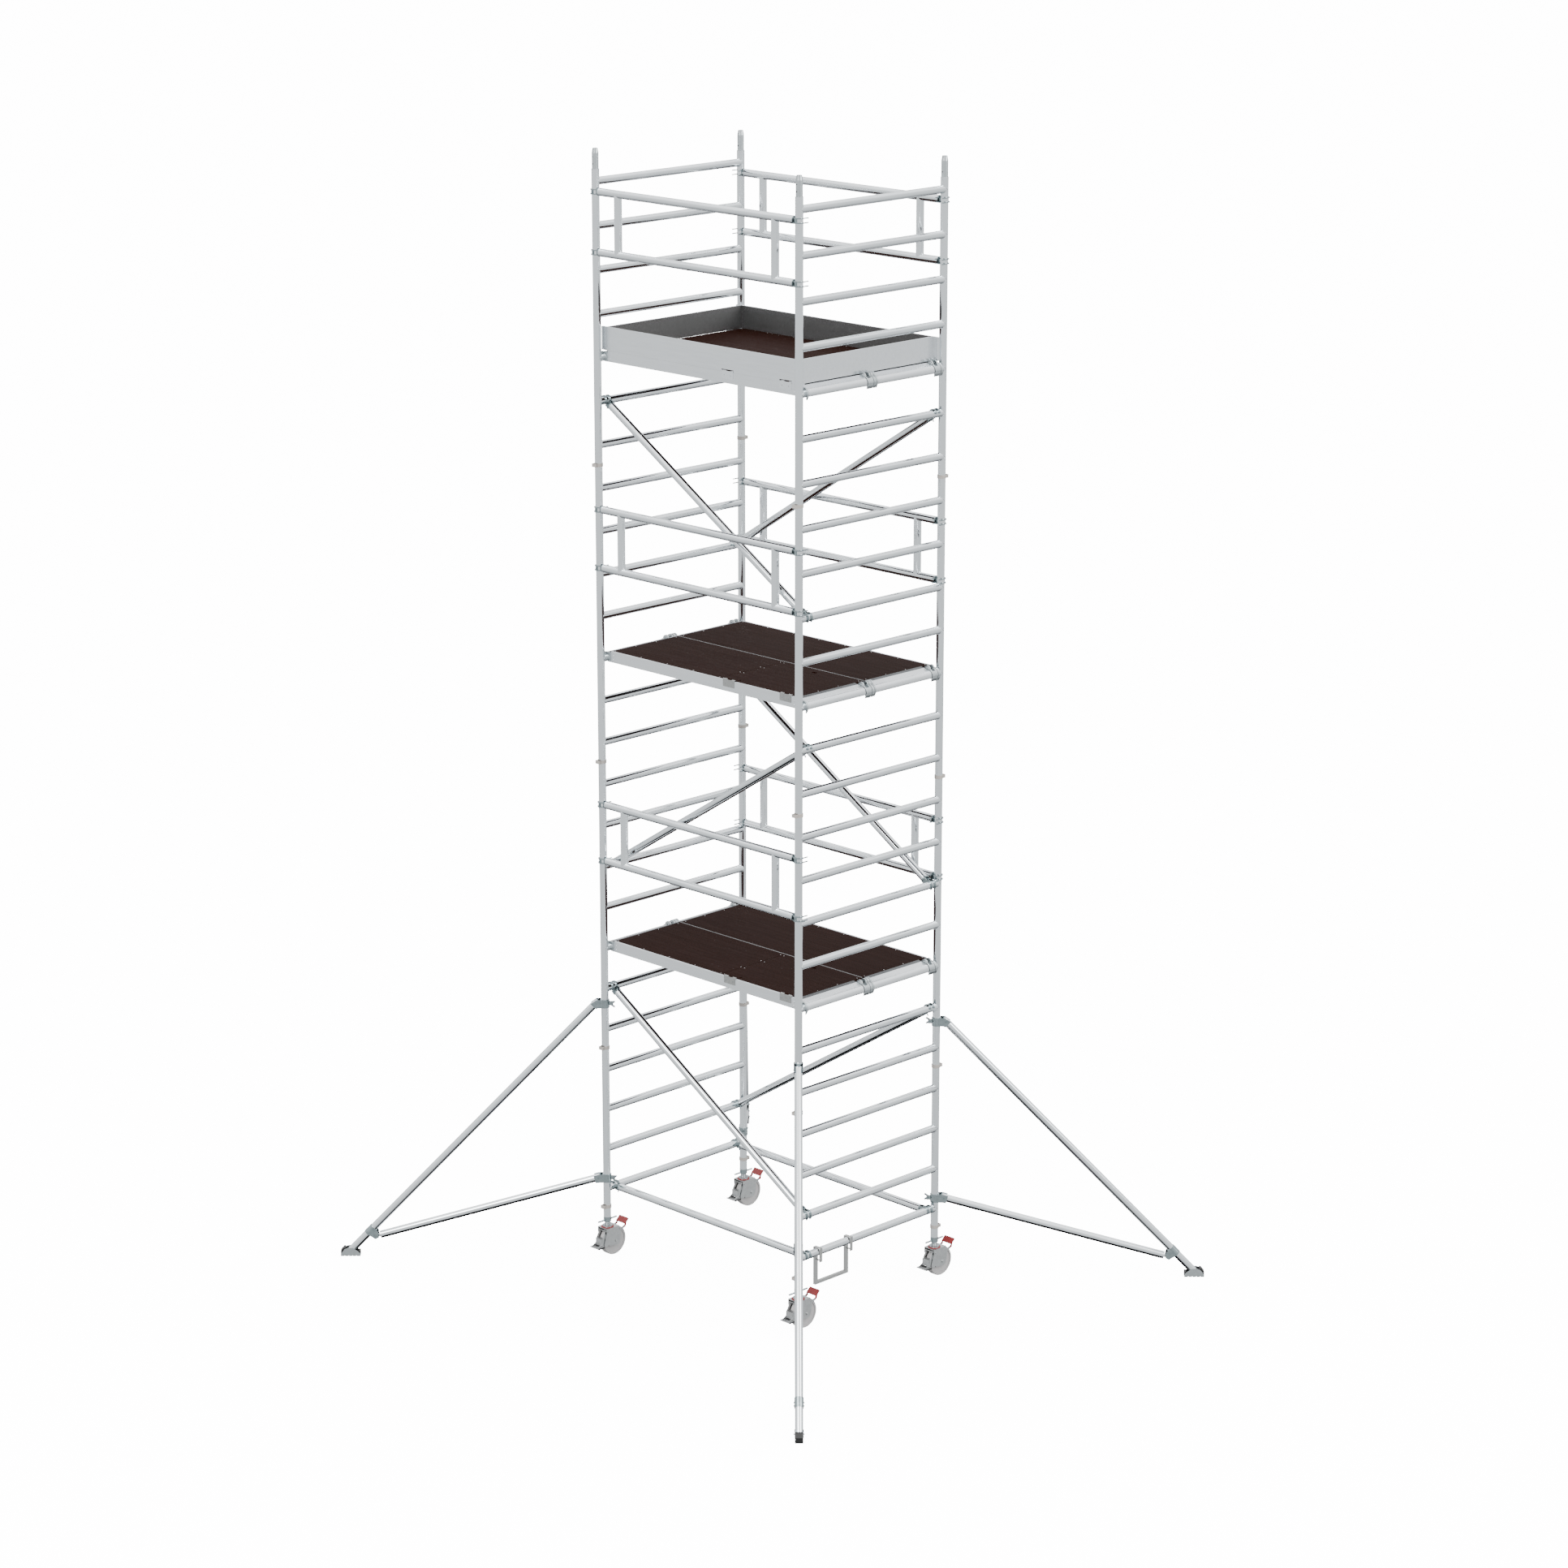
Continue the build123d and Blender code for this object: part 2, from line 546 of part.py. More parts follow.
ENDS = {-PLATFORM_HALF_Y: platform_ends(True), FAR_EDGE: platform_ends(False)}
RIVET_ROWS = [BEAM_BOTTOM + (BEAM_H + half * BEAM_RIVET_PITCH) / 2 - CLAW_SPACE for half in (-1, 1)]
RIVETED_BEAM, TOP_BEAM = side_beam(True, RIVET_ROWS), side_beam(True, RIVET_ROWS[:1])
INNER_BEAM = side_beam(False)
beams, profiles, platform_claws, decks = [], [], [], []
for rung in PLATFORM_RUNGS:
    level = Pos(0, 0, rung_z(rung))
    outer_beam = TOP_BEAM if rung == PLATFORM_RUNGS[-1] else RIVETED_BEAM
    for beam in (outer_beam, INNER_BEAM):
        beams += [level * beam, level * mirror(beam, Plane.XZ)]
    for low_edge, (profile, claws) in ENDS.items():
        shift = Pos(0, low_edge, 0)
        profiles += [level * shift * profile, level * shift * mirror(profile, Plane.YZ)]
        for claw in claws:
            platform_claws += [level * shift * claw, level * shift * mirror(claw, Plane.YZ)]
    near_end = HATCH_START - HATCH_PLAY
    decks.append(level * block(-DECK_HALF_X, near_end, -DECK_HALF_Y, -DECK_INNER,
                               DECK_BOTTOM, DECK_OVER_RUNG))
    decks.append(level * block(-DECK_HALF_X, DECK_HALF_X, DECK_INNER, DECK_HALF_Y,
                               DECK_BOTTOM, DECK_OVER_RUNG))
save("platform_side_beams", beams)
save("platform_end_profiles", profiles)
save("platform_claws", platform_claws)
save("decks", decks)

# ---------------------------------------------------------------- hatches and their hinges
HINGE_Y = -DECK_HALF_Y - HINGE_LEAF_T
HINGE_Z = DECK_OVER_RUNG + KNUCKLE_D / 2 + SEAT_GAP


def hinge_fixed(x):
    """Fixed half of a hatch hinge: leaf on the beam's outer face, end knuckles and pin."""
    face = -PLATFORM_HALF_Y - SEAT_GAP / 10
    x0, x1 = x - HINGE_LENGTH / 2, x + HINGE_LENGTH / 2
    top = HINGE_Z + HINGE_LEAF_T / 2
    leaf = block(x0, x1, face - HINGE_LEAF_T, face, DECK_OVER_RUNG - HINGE_LEAF_H, top)
    leaf += block(x0, x1, face - HINGE_LEAF_T, HINGE_Y, HINGE_Z - HINGE_LEAF_T / 2, top)
    third = HINGE_LENGTH / 3
    leaf -= block(x0 + third, x1 - third, face, HINGE_Y + KNUCKLE_D,
                  DECK_OVER_RUNG, top + KNUCKLE_D)
    pin = disc_x(HINGE_Y, HINGE_Z, HINGE_PIN_D / 2, x0, x1)
    return leaf + pin


def hatch():
    """Hatch panel with the moving leaf of each hinge."""
    x0, x1 = HATCH_START, DECK_HALF_X
    panel = block(x0, x1, -DECK_HALF_Y, -DECK_INNER, DECK_BOTTOM, DECK_OVER_RUNG)
    hole_inset, hole_l, hole_w = FINGER_HOLE
    panel -= Pos(x1 - hole_inset, -DECK_INNER - FINGER_HOLE_INSET, DECK_OVER_RUNG - DECK_T / 2) * extrude(
        SlotOverall(hole_l, hole_w), DECK_T, both=True)
    pieces = [panel]
    for x in HATCH_HINGES:
        third = HINGE_LENGTH / 3
        k0, k1 = x - third / 2 + SEAT_GAP, x + third / 2 - SEAT_GAP
        leaf = block(x - HINGE_LENGTH / 2, x + HINGE_LENGTH / 2,
                     -DECK_HALF_Y + HINGE_LEAF_T, -DECK_HALF_Y + HINGE_LEAF_W,
                     DECK_OVER_RUNG + SEAT_GAP / 10, DECK_OVER_RUNG + HINGE_LEAF_T)
        leaf += block(k0, k1, HINGE_Y, -DECK_HALF_Y + HINGE_LEAF_T,
                      DECK_OVER_RUNG + SEAT_GAP, DECK_OVER_RUNG + HINGE_LEAF_T)
        leaf += disc_x(HINGE_Y, HINGE_Z, KNUCKLE_D / 2, k0, k1)
        leaf -= disc_x(HINGE_Y, HINGE_Z, HINGE_PIN_D / 2 + RUN_GAP, k0, k1)
        pieces.append(leaf)
    return pieces


HATCH = hatch()
for name, rung in zip(("lower", "middle", "top"), PLATFORM_RUNGS):
    save(f"hatch_{name}", [Pos(0, 0, rung_z(rung)) * piece for piece in HATCH])
save("hatch_hinges", [Pos(0, 0, rung_z(rung)) * hinge_fixed(x)
                      for rung in PLATFORM_RUNGS for x in HATCH_HINGES])

# ---------------------------------------------------------------- toe boards of the top platform
top_level = Pos(0, 0, rung_z(PLATFORM_RUNGS[-1]))
toe_boards = []
toe_inner = PLATFORM_HALF_Y - TOE_T
toe_bottom = DECK_OVER_RUNG + SEAT_GAP
toe_top = DECK_OVER_RUNG + TOE_HEIGHT
for y_side in (-1, 1):
    inner, outer = y_side * toe_inner, y_side * PLATFORM_HALF_Y
    board = block(-TOE_HALF_X, TOE_HALF_X, min(inner, outer), max(inner, outer),
                  toe_bottom, toe_top)
    if y_side < 0:
        for x in HATCH_HINGES:
            half = HINGE_LENGTH / 2 + PLATFORM_GAP
            board -= block(x - half, x + half, outer, inner,
                           toe_bottom, HINGE_Z + KNUCKLE_D)
    toe_boards.append(top_level * board)
for x_side in (-1, 1):
    inner = x_side * (DECK_HALF_X + TOE_END_GAP)
    outer = inner + x_side * TOE_T
    toe_boards.append(top_level * block(min(inner, outer), max(inner, outer),
                                        -toe_inner + SEAT_GAP, toe_inner - SEAT_GAP,
                                        toe_bottom, toe_top))
save("toe_boards", toe_boards)


# ---------------------------------------------------------------- access stirrup
def stirrup():
    """Step hung on the lowest rung of the right end frame: two hooks and the bar between them."""
    x, z = HALF_X, rung_z(0)
    low_y, high_y = (-HALF_Y + offset for offset in STIRRUP_OFFSETS)
    r = TUBE_R + SEAT_GAP
    inner_x = x - r - STIRRUP_WALL
    top = z + r + STIRRUP_WALL
    strap_bottom = z - TUBE_R - 2 * STIRRUP_WALL
    pieces = []
    for y in (low_y, high_y):
        y0, y1 = y - STIRRUP_W / 2, y + STIRRUP_W / 2
        hook = block(inner_x, x + r + STIRRUP_WALL, y0, y1, z + r, top)
        hook += block(x + r, x + r + STIRRUP_WALL, y0, y1, top - STIRRUP_OUTER_LEG, top)
        hook += block(inner_x, x - r, y0, y1, strap_bottom, top)
        hook += block(inner_x, inner_x + STIRRUP_LEG_T, y0, y1,
                      STIRRUP_BOTTOM, strap_bottom + STIRRUP_WALL)
        bolt_z = top - STIRRUP_OUTER_LEG + STIRRUP_BOLT_D
        hook += disc_x(y, bolt_z, STIRRUP_BOLT_D / 2, inner_x + STIRRUP_WALL, x + r + 2 * STIRRUP_WALL)
        pieces.append(hook)
    pieces.append(block(inner_x, inner_x + STIRRUP_LEG_T, low_y + STIRRUP_W / 2,
                        high_y - STIRRUP_W / 2, STIRRUP_BOTTOM, STIRRUP_BOTTOM + STIRRUP_BAR_H))
    return pieces


save("access_stirrup", stirrup())


# ---------------------------------------------------------------- castors
def wheel():
    """Wheel with recessed faces, about an axle along X at the axle's place."""
    r, half = WHEEL_D / 2, WHEEL_W / 2
    hub_half = HUB_W / 2
    body = Rot(0, 90, 0) * Cylinder(r, WHEEL_W)
    body = fillet(body.edges().filter_by(GeomType.CIRCLE), WHEEL_ROUND)
    for side in (-1, 1):
        cut = Rot(0, 90, 0) * Cylinder(RIM_INNER_D / 2, WHEEL_RECESS)
        body -= Pos(side * (half - WHEEL_RECESS / 2), 0, 0) * cut
    body += Rot(0, 90, 0) * Cylinder(HUB_D / 2, 2 * hub_half)
    body -= Rot(0, 90, 0) * Cylinder(AXLE_D / 2 + RUN_GAP, 2 * WHEEL_D)
    return Pos(0, WHEEL_OFFSET, r) * body


def fork():
    """Crown plate with its race ring, the two cheeks, and the axle bolt with its two heads."""
    y0, y1 = FORK_Y
    r = WHEEL_D / 2
    crown_z = FORK_TOP - FORK_PLATE_T
    crown = block(-FORK_HALF_X, FORK_HALF_X, y0, y1, crown_z, FORK_TOP)
    crown += rod((0, 0, FORK_TOP), (0, 0, RACE_TOP), RACE_D / 2)
    crown -= rod((0, 0, SKIRT_BOTTOM), (0, 0, RACE_TOP), KINGPIN_D / 2 + RUN_GAP)
    pieces = [crown]
    outline = [(y0 + FORK_PLATE_T, SKIRT_BOTTOM), (87, SKIRT_BOTTOM), (82, 120), (72, 82),
               (52, 70), (-58, 82), (-63, 96), (-52, 135)]
    for side in (-1, 1):
        skirt = sorted((side * (FORK_HALF_X - FORK_T), side * FORK_HALF_X))
        shelf = sorted((side * LEG_X, side * FORK_HALF_X))
        leg = sorted((side * LEG_X, side * (LEG_X + FORK_T)))
        cheek = block(*skirt, y0, y1, SKIRT_BOTTOM, crown_z)
        cheek += block(*shelf, y0, y1, SKIRT_BOTTOM, SKIRT_BOTTOM + FORK_T)
        cheek += slab_yz(outline, *leg)
        cheek += block(*leg, y1 - FORK_T, 87, SKIRT_BOTTOM - FORK_T, SKIRT_BOTTOM + 2 * FORK_T)
        cheek -= disc_x(WHEEL_OFFSET, r, AXLE_D / 2 + RUN_GAP / 2, -FORK_HALF_X, FORK_HALF_X)
        cheek -= disc_x(-26, 82, AXLE_D / 3, -FORK_HALF_X, FORK_HALF_X)
        for pivot in (PEDAL_PIVOT, LEVER_PIVOT):
            cheek -= disc_x(*pivot, PEDAL_PIN_D / 2 + RUN_GAP, -2 * FORK_HALF_X, 2 * FORK_HALF_X)
        pieces.append(cheek)
    grip = LEG_X + FORK_T
    axle = disc_x(WHEEL_OFFSET, r, AXLE_D / 2, -grip - AXLE_HEAD_T, grip + AXLE_HEAD_T)
    for side in (-1, 1):
        head_x = min(side * grip, side * (grip + AXLE_HEAD_T))
        axle += extrude(Plane(origin=(head_x, WHEEL_OFFSET, r), z_dir=(1, 0, 0))
                        * RegularPolygon(AXLE_HEAD_D / 2, 6), AXLE_HEAD_T)
        axle += disc_x(WHEEL_OFFSET, r, AXLE_HEAD_D / 2,
                       *sorted((side * (HUB_W / 2 + RUN_GAP), side * LEG_X)))
    pieces.append(axle)
    return pieces


def spindle():
    """King pin and flange that carry the fork, and the threaded stem above them."""
    top = NUT_TOP + SPINDLE_TRAVEL + SPINDLE_ENGAGED
    flange_top = FLANGE_BOTTOM + FLANGE_T
    pin_foot = FORK_TOP - FORK_PLATE_T - PLAY
    foot = rod((0, 0, FLANGE_BOTTOM), (0, 0, flange_top), FLANGE_D / 2)
    foot += rod((0, 0, pin_foot), (0, 0, FLANGE_BOTTOM), KINGPIN_D / 2)
    foot += rod((0, 0, pin_foot - KINGPIN_HEAD_T), (0, 0, pin_foot), KINGPIN_HEAD_D / 2)
    return [foot, rod((0, 0, flange_top), (0, 0, top), SPINDLE_D / 2)]


def spindle_nut():
    """Spindle nut under the post's lower end, and the two arms of its cross bar."""
    collar = rod((0, 0, NUT_BOTTOM), (0, 0, NUT_TOP), NUT_D / 2)
    z = NUT_BOTTOM + NUT_BAR_Z
    arms = [rod((0, 0, z), (0, side * NUT_BAR_HALF, z), NUT_BAR_D / 2) - collar for side in (-1, 1)]
    bore = rod((0, 0, NUT_BOTTOM), (0, 0, NUT_TOP), SPINDLE_D / 2 + NUT_FIT)
    return [collar - bore] + arms


def brake_pedal():
    """Foot pedal in the braked position: plate, two arms on their pins, and the brake shoe."""
    py, pz = PEDAL_PIVOT
    y0, y1 = PEDAL_PLATE
    z0 = PEDAL_PLATE_Z
    seat = z0 + PEDAL_PLATE_T
    arm = [(py - 8, pz + 9), (py + 9, pz + 6), (py + 9, pz - 9), (-56, 140), (-64, 100),
           (y1, seat), (y0, seat), (y0, seat + 2), (-82, 104), (-72, 140)]
    pieces = [block(-PEDAL_HALF_X, PEDAL_HALF_X, y0, y1, z0, seat),
              disc_x(py, pz, PEDAL_PIN_D / 2, -PEDAL_ARM_X, PEDAL_ARM_X)]
    for side in (-1, 1):
        xs = sorted((side * PEDAL_ARM_X, side * (PEDAL_ARM_X + PEDAL_ARM_T)))
        pin = sorted((side * PEDAL_ARM_X, side * (FORK_HALF_X + FORK_T)))
        pieces.append(slab_yz(arm, *xs) + disc_x(py, pz, PEDAL_PIN_D / 2, *pin))
    r = WHEEL_D / 2 + SHOE_GAP
    half = PEDAL_ARM_X
    shoe = disc_x(WHEEL_OFFSET, WHEEL_D / 2, r + SHOE_T, -half, half)
    reach = WHEEL_D * sin(radians(SHOE_ANGLE))
    centre = WHEEL_OFFSET - WHEEL_D / 2
    shoe = shoe & block(-half, half, centre - WHEEL_D / 2, centre + WHEEL_D / 4,
                        WHEEL_D / 2 - reach / 2 + 12, WHEEL_D / 2 + reach)
    shoe += block(-half, half, -82, -72, 92, 140)
    shoe += block(-half, half, -74, -63, 96, 120)
    shoe -= disc_x(WHEEL_OFFSET, WHEEL_D / 2, r, -half, half)
    pieces.append(max(shoe.solids(), key=lambda solid: solid.volume))
    return pieces


def release_lever():
    """Red paddle and its two bent legs, in the raised position."""
    py, pz = LEVER_PIVOT
    ky, kz = LEVER_KNEE
    ly, lz = PADDLE_LOW
    ty, tz = PADDLE_TIP
    tilt = degrees(atan2(tz - lz, ty - ly))
    length = hypot(ty - ly, tz - lz)
    paddle = Box(2 * (LEVER_X + LEVER_T + 1), length, PADDLE_T)
    paddle = fillet(paddle.edges().filter_by(Axis.Z), PADDLE_T / 2)
    paddle = Pos(0, (ly + ty) / 2, (lz + tz) / 2) * Rot(tilt, 0, 0) * paddle
    leg = [(py - 8, pz - 6), (py + 4, pz - 9), (ky + 2, kz - 8), (ly + 14, lz + 4),
           (ly, lz + 6), (ky - 10, kz + 4), (py - 4, pz + 9)]
    pieces = [paddle]
    for side in (-1, 1):
        xs = sorted((side * LEVER_X, side * (LEVER_X + LEVER_T)))
        pin = sorted((side * (LEG_X - LEVER_T / 2), side * LEVER_X))
        piece = slab_yz(leg, *xs) + disc_x(py, pz, PEDAL_PIN_D / 2, *pin) - paddle
        pieces.append(max(piece.solids(), key=lambda solid: solid.volume))
    return pieces


WHEEL, FORK, SPINDLE = wheel(), fork(), spindle()
NUT, PEDAL, LEVER = spindle_nut(), brake_pedal(), release_lever()
CASTOR = {"spindle": SPINDLE, "spindle_nut": NUT, "fork": FORK, "wheel": [WHEEL],
          "brake_pedal": PEDAL, "release_lever": LEVER}
for name, (x, y, outward) in CORNERS.items():
    for part, solids in CASTOR.items():
        save(f"castor_{name}_{part}", [Pos(x, y, 0) * solid for solid in solids])

# ---------------------------------------------------------------- outriggers
# Built with the post on the Z axis and the outrigger along +X, then turned to its corner.
STRUT_DX, STRUT_DZ = STRUT_FOOT[0] - STRUT_TOP[0], STRUT_FOOT[1] - STRUT_TOP[1]
STRUT_LENGTH = hypot(STRUT_DX, STRUT_DZ)
STRUT_U = (STRUT_DX / STRUT_LENGTH, STRUT_DZ / STRUT_LENGTH)
ARM_LENGTH = hypot(ARM_FOOT[0] - ARM_TOP[0], ARM_FOOT[1] - ARM_TOP[1])
ARM_U = ((ARM_FOOT[0] - ARM_TOP[0]) / ARM_LENGTH, (ARM_FOOT[1] - ARM_TOP[1]) / ARM_LENGTH)
CHEEK_IN = TUBE_R + SEAT_GAP
CHEEK_OUT = CHEEK_IN + BRACKET_T


def post_clamp(px, z, slope):
    """Clamp ring with its swing bolt, wing nut and the fork bracket for a tube."""
    inner = TUBE_R + SWING_GAP
    outer = inner + CLAMP_WALL
    half = CLAMP_H / 2
    ring = tube((0, 0, z - half), (0, 0, z + half), outer, inner)
    ear = CLAMP_EAR
    ring += block(-outer - 2 * ear, -inner - 1, -ear, ear, z - ear, z + ear) - rod(
        (0, 0, z - half), (0, 0, z + half), inner)
    ring -= block(-outer - 2 * ear, 0, -ear / 3, ear / 3, z - half, z + half)
    bolt_x = -outer - ear
    ring += rod((bolt_x, -2 * ear, z), (bolt_x, 2 * ear, z), BRACKET_PIN_D / 2)
    for turn in (-1, 1):
        wing = Pos(bolt_x - ear, 1.6 * ear, z + turn * ear) * Rot(0, turn * 35, 0) * Box(
            2.4 * ear, ear / 3, ear)
        ring += wing
    ux, uz = slope
    nx, nz = -uz, ux
    reach = TUBE_R
    plate = [(13, z - half), (13, z + half), (px - 4, z + half),
             (px + ux * 22 + nx * reach, z + uz * 22 + nz * reach),
             (px + ux * 22 - nx * reach, z + uz * 22 - nz * reach), (px - 16, z - half)]
    for side in (-1, 1):
        ys = sorted((side * CHEEK_IN, side * CHEEK_OUT))
        ring += slab_xz(plate, *ys) - rod((0, 0, z - half), (0, 0, z + half), inner)
    ring += disc_y(px, z, BRACKET_PIN_D / 2, -CHEEK_OUT - 5, CHEEK_OUT + 5)
    return ring


def sleeve_bracket():
    """Sleeve round the strut with two lug plates and the arm's pivot bolt."""
    ax, az = ARM_FOOT
    along = (ax - STRUT_TOP[0]) * STRUT_U[0] + (az - STRUT_TOP[1]) * STRUT_U[1]
    cx, cz = STRUT_TOP[0] + along * STRUT_U[0], STRUT_TOP[1] + along * STRUT_U[1]
    half = SLEEVE_LENGTH / 2
    start = (cx - half * STRUT_U[0], 0, cz - half * STRUT_U[1])
    end = (cx + half * STRUT_U[0], 0, cz + half * STRUT_U[1])
    body = tube(start, end, CHEEK_OUT, CHEEK_IN)
    nx, nz = STRUT_U[1], -STRUT_U[0]
    lug = []
    for a, n in ((-half, 0), (half, 0), (half * 0.6, 62), (-half * 0.2, 70), (-half, 40)):
        lug.append((cx + a * STRUT_U[0] + n * nx, cz + a * STRUT_U[1] + n * nz))
    for side in (-1, 1):
        ys = sorted((side * CHEEK_IN, side * CHEEK_OUT))
        body += slab_xz(lug, *ys)
    body += disc_y(ax, az, BRACKET_PIN_D / 2, -CHEEK_OUT - 5, CHEEK_OUT + 5)
    body += disc_y(cx, cz, BRACKET_PIN_D / 2, CHEEK_IN + 1, CHEEK_OUT + 5)
    body += disc_y(cx, cz, BRACKET_PIN_D / 2, -CHEEK_OUT - 5, -CHEEK_IN - 1)
    return body


def strut_and_arm():
    """The strut to the foot, and the arm that ties it to the lower clamp."""
    bolt = BRACKET_PIN_D / 2 + RUN_GAP
    strut = tube((STRUT_TOP[0], 0, STRUT_TOP[1]), (STRUT_FOOT[0], 0, STRUT_FOOT[1]))
    for x, z in (STRUT_TOP, STRUT_FOOT):
        cap = disc_y(x, z, TUBE_R - 1, -TUBE_R, TUBE_R)
        strut += (cap & rod((x - 40 * STRUT_U[0], 0, z - 40 * STRUT_U[1]),
                            (x + 40 * STRUT_U[0], 0, z + 40 * STRUT_U[1]), TUBE_R))
    arm_end = (ARM_FOOT[0] - ARM_END * ARM_U[0], 0, ARM_FOOT[1] - ARM_END * ARM_U[1])
    arm = tube((ARM_TOP[0], 0, ARM_TOP[1]), arm_end)
    x, z = ARM_TOP
    cap = disc_y(x, z, TUBE_R - 1, -TUBE_R, TUBE_R)
    arm += (cap & rod((x - 40 * ARM_U[0], 0, z - 40 * ARM_U[1]),
                      (x + 40 * ARM_U[0], 0, z + 40 * ARM_U[1]), TUBE_R))
    plug_end = (ARM_FOOT[0] + 8 * ARM_U[0], 0, ARM_FOOT[1] + 8 * ARM_U[1])
    arm += rod(arm_end, plug_end, BORE_R / 2)
    for x, z in (STRUT_TOP, STRUT_FOOT):
        strut -= disc_y(x, z, bolt, -TUBE_D, TUBE_D)
    for x, z in (ARM_TOP, ARM_FOOT):
        arm -= disc_y(x, z, bolt, -TUBE_D, TUBE_D)
    return [strut, arm]


def foot():
    """Tilting foot: two side plates, a toothed rubber sole with raised ends, and its bolt."""
    fx, fz = STRUT_FOOT
    half = FOOT_LENGTH / 2
    plate = [(-half, TOOTH_H), (half, TOOTH_H), (half, 16), (38, 52), (14, 60), (-14, 60),
             (-38, 44), (-half, 22)]
    pieces = []
    bolt = disc_y(fx, fz, BRACKET_PIN_D / 2, -CHEEK_OUT - 5, CHEEK_OUT + 5)
    for side in (-1, 1):
        ys = sorted((side * CHEEK_IN, side * CHEEK_OUT))
        bolt += slab_xz([(fx + s, z) for s, z in plate], *ys)
    pieces.append(bolt)
    sole = block(fx - half, fx + half, -CHEEK_IN + 1, CHEEK_IN - 1, 0, TOOTH_H)
    pitch = FOOT_LENGTH / FOOT_TEETH
    for tooth in range(FOOT_TEETH - 1):
        groove_x = fx - half + (tooth + 1) * pitch
        sole -= disc_y(groove_x, 0, TOOTH_H * 0.7, -TUBE_D, TUBE_D)
    outer_end = [(30, TOOTH_H), (half, TOOTH_H), (half, 36), (46, 60), (34, 62)]
    inner_end = [(-half, TOOTH_H), (-34, TOOTH_H), (-48, 30), (-54, 36), (-half, 36)]
    for end in (outer_end, inner_end):
        sole += slab_xz([(fx + s, z) for s, z in end], -CHEEK_IN + 1, CHEEK_IN - 1)
    pieces.append(sole)
    return pieces


UPPER_CLAMP = post_clamp(*STRUT_TOP, STRUT_U)
LOWER_CLAMP = post_clamp(*ARM_TOP, ARM_U)
SLEEVE = sleeve_bracket()
TUBES = strut_and_arm()
FOOT = foot()
for name, (x, y, outward) in CORNERS.items():
    here = Pos(x, y, 0) * Rot(0, 0, outward)
    save(f"outrigger_{name}_tubes", [here * piece for piece in TUBES])
    save(f"outrigger_{name}_clamps", [here * piece for piece in (UPPER_CLAMP, LOWER_CLAMP, SLEEVE)])
    save(f"outrigger_{name}_foot", [here * piece for piece in FOOT])
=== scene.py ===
"""Mobile tower scaffold: finishes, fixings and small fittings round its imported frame."""
import json
import math

import bmesh
import bpy
from mathutils import Matrix, Vector


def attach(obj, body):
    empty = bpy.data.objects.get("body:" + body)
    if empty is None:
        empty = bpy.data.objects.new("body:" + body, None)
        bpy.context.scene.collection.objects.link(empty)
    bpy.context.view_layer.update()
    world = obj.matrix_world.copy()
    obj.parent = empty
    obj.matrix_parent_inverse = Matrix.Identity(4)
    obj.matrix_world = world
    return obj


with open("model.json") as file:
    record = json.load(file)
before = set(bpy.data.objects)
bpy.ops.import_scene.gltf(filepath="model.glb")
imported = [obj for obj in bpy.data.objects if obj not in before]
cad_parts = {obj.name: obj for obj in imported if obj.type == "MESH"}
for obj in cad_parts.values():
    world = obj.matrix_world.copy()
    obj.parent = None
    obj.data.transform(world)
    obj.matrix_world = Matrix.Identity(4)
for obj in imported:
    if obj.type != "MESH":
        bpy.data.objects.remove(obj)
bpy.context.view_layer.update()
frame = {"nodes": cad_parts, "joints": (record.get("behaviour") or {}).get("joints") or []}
nodes = frame["nodes"]
joints = {joint["name"]: joint for joint in frame["joints"]}
scene = bpy.context.scene
bpy.ops.object.select_all(action="DESELECT")


# ------------------------------------------------------------------ studio
# A pale floor, a soft sky that is bright overhead and dark straight below, and two large
# soft lights. The camera stands off one corner of the tower, a little above its top.
CAMERA_PLACE = (19.2408, -19.1072, 10.8769)
CAMERA_TURN = 45.0
CAMERA_DOWN = 15.5532
CAMERA_LENS = 100.0
CAMERA_FILM = 36.0
FLOOR_SIZE = 400.0
FLOOR_DROP = 0.001
FLOOR_COLOUR = (0.93, 0.93, 0.93, 1.0)
FLOOR_GLOW = 14.0
SKY_STOPS = ((0.0, (0.001, 0.001, 0.001, 1)), (0.14, (0.002, 0.002, 0.003, 1)),
             (0.18, (0.3, 0.31, 0.32, 1)), (0.3, (0.5, 0.52, 0.53, 1)),
             (0.45, (0.62, 0.64, 0.65, 1)), (0.62, (0.66, 0.68, 0.69, 1)),
             (0.8, (1.1, 1.12, 1.14, 1)), (1.0, (1.6, 1.6, 1.6, 1)))
SKY_STRENGTH = 1.75
TOWER_MIDDLE = (0, 0, 3.5)
KEY_LIGHT = {"place": (3.0, -16.0, 17.0), "size": 9.0, "power": 2600}
FILL_LIGHT = {"place": (17.0, 5.0, 13.0), "size": 10.0, "power": 1700}


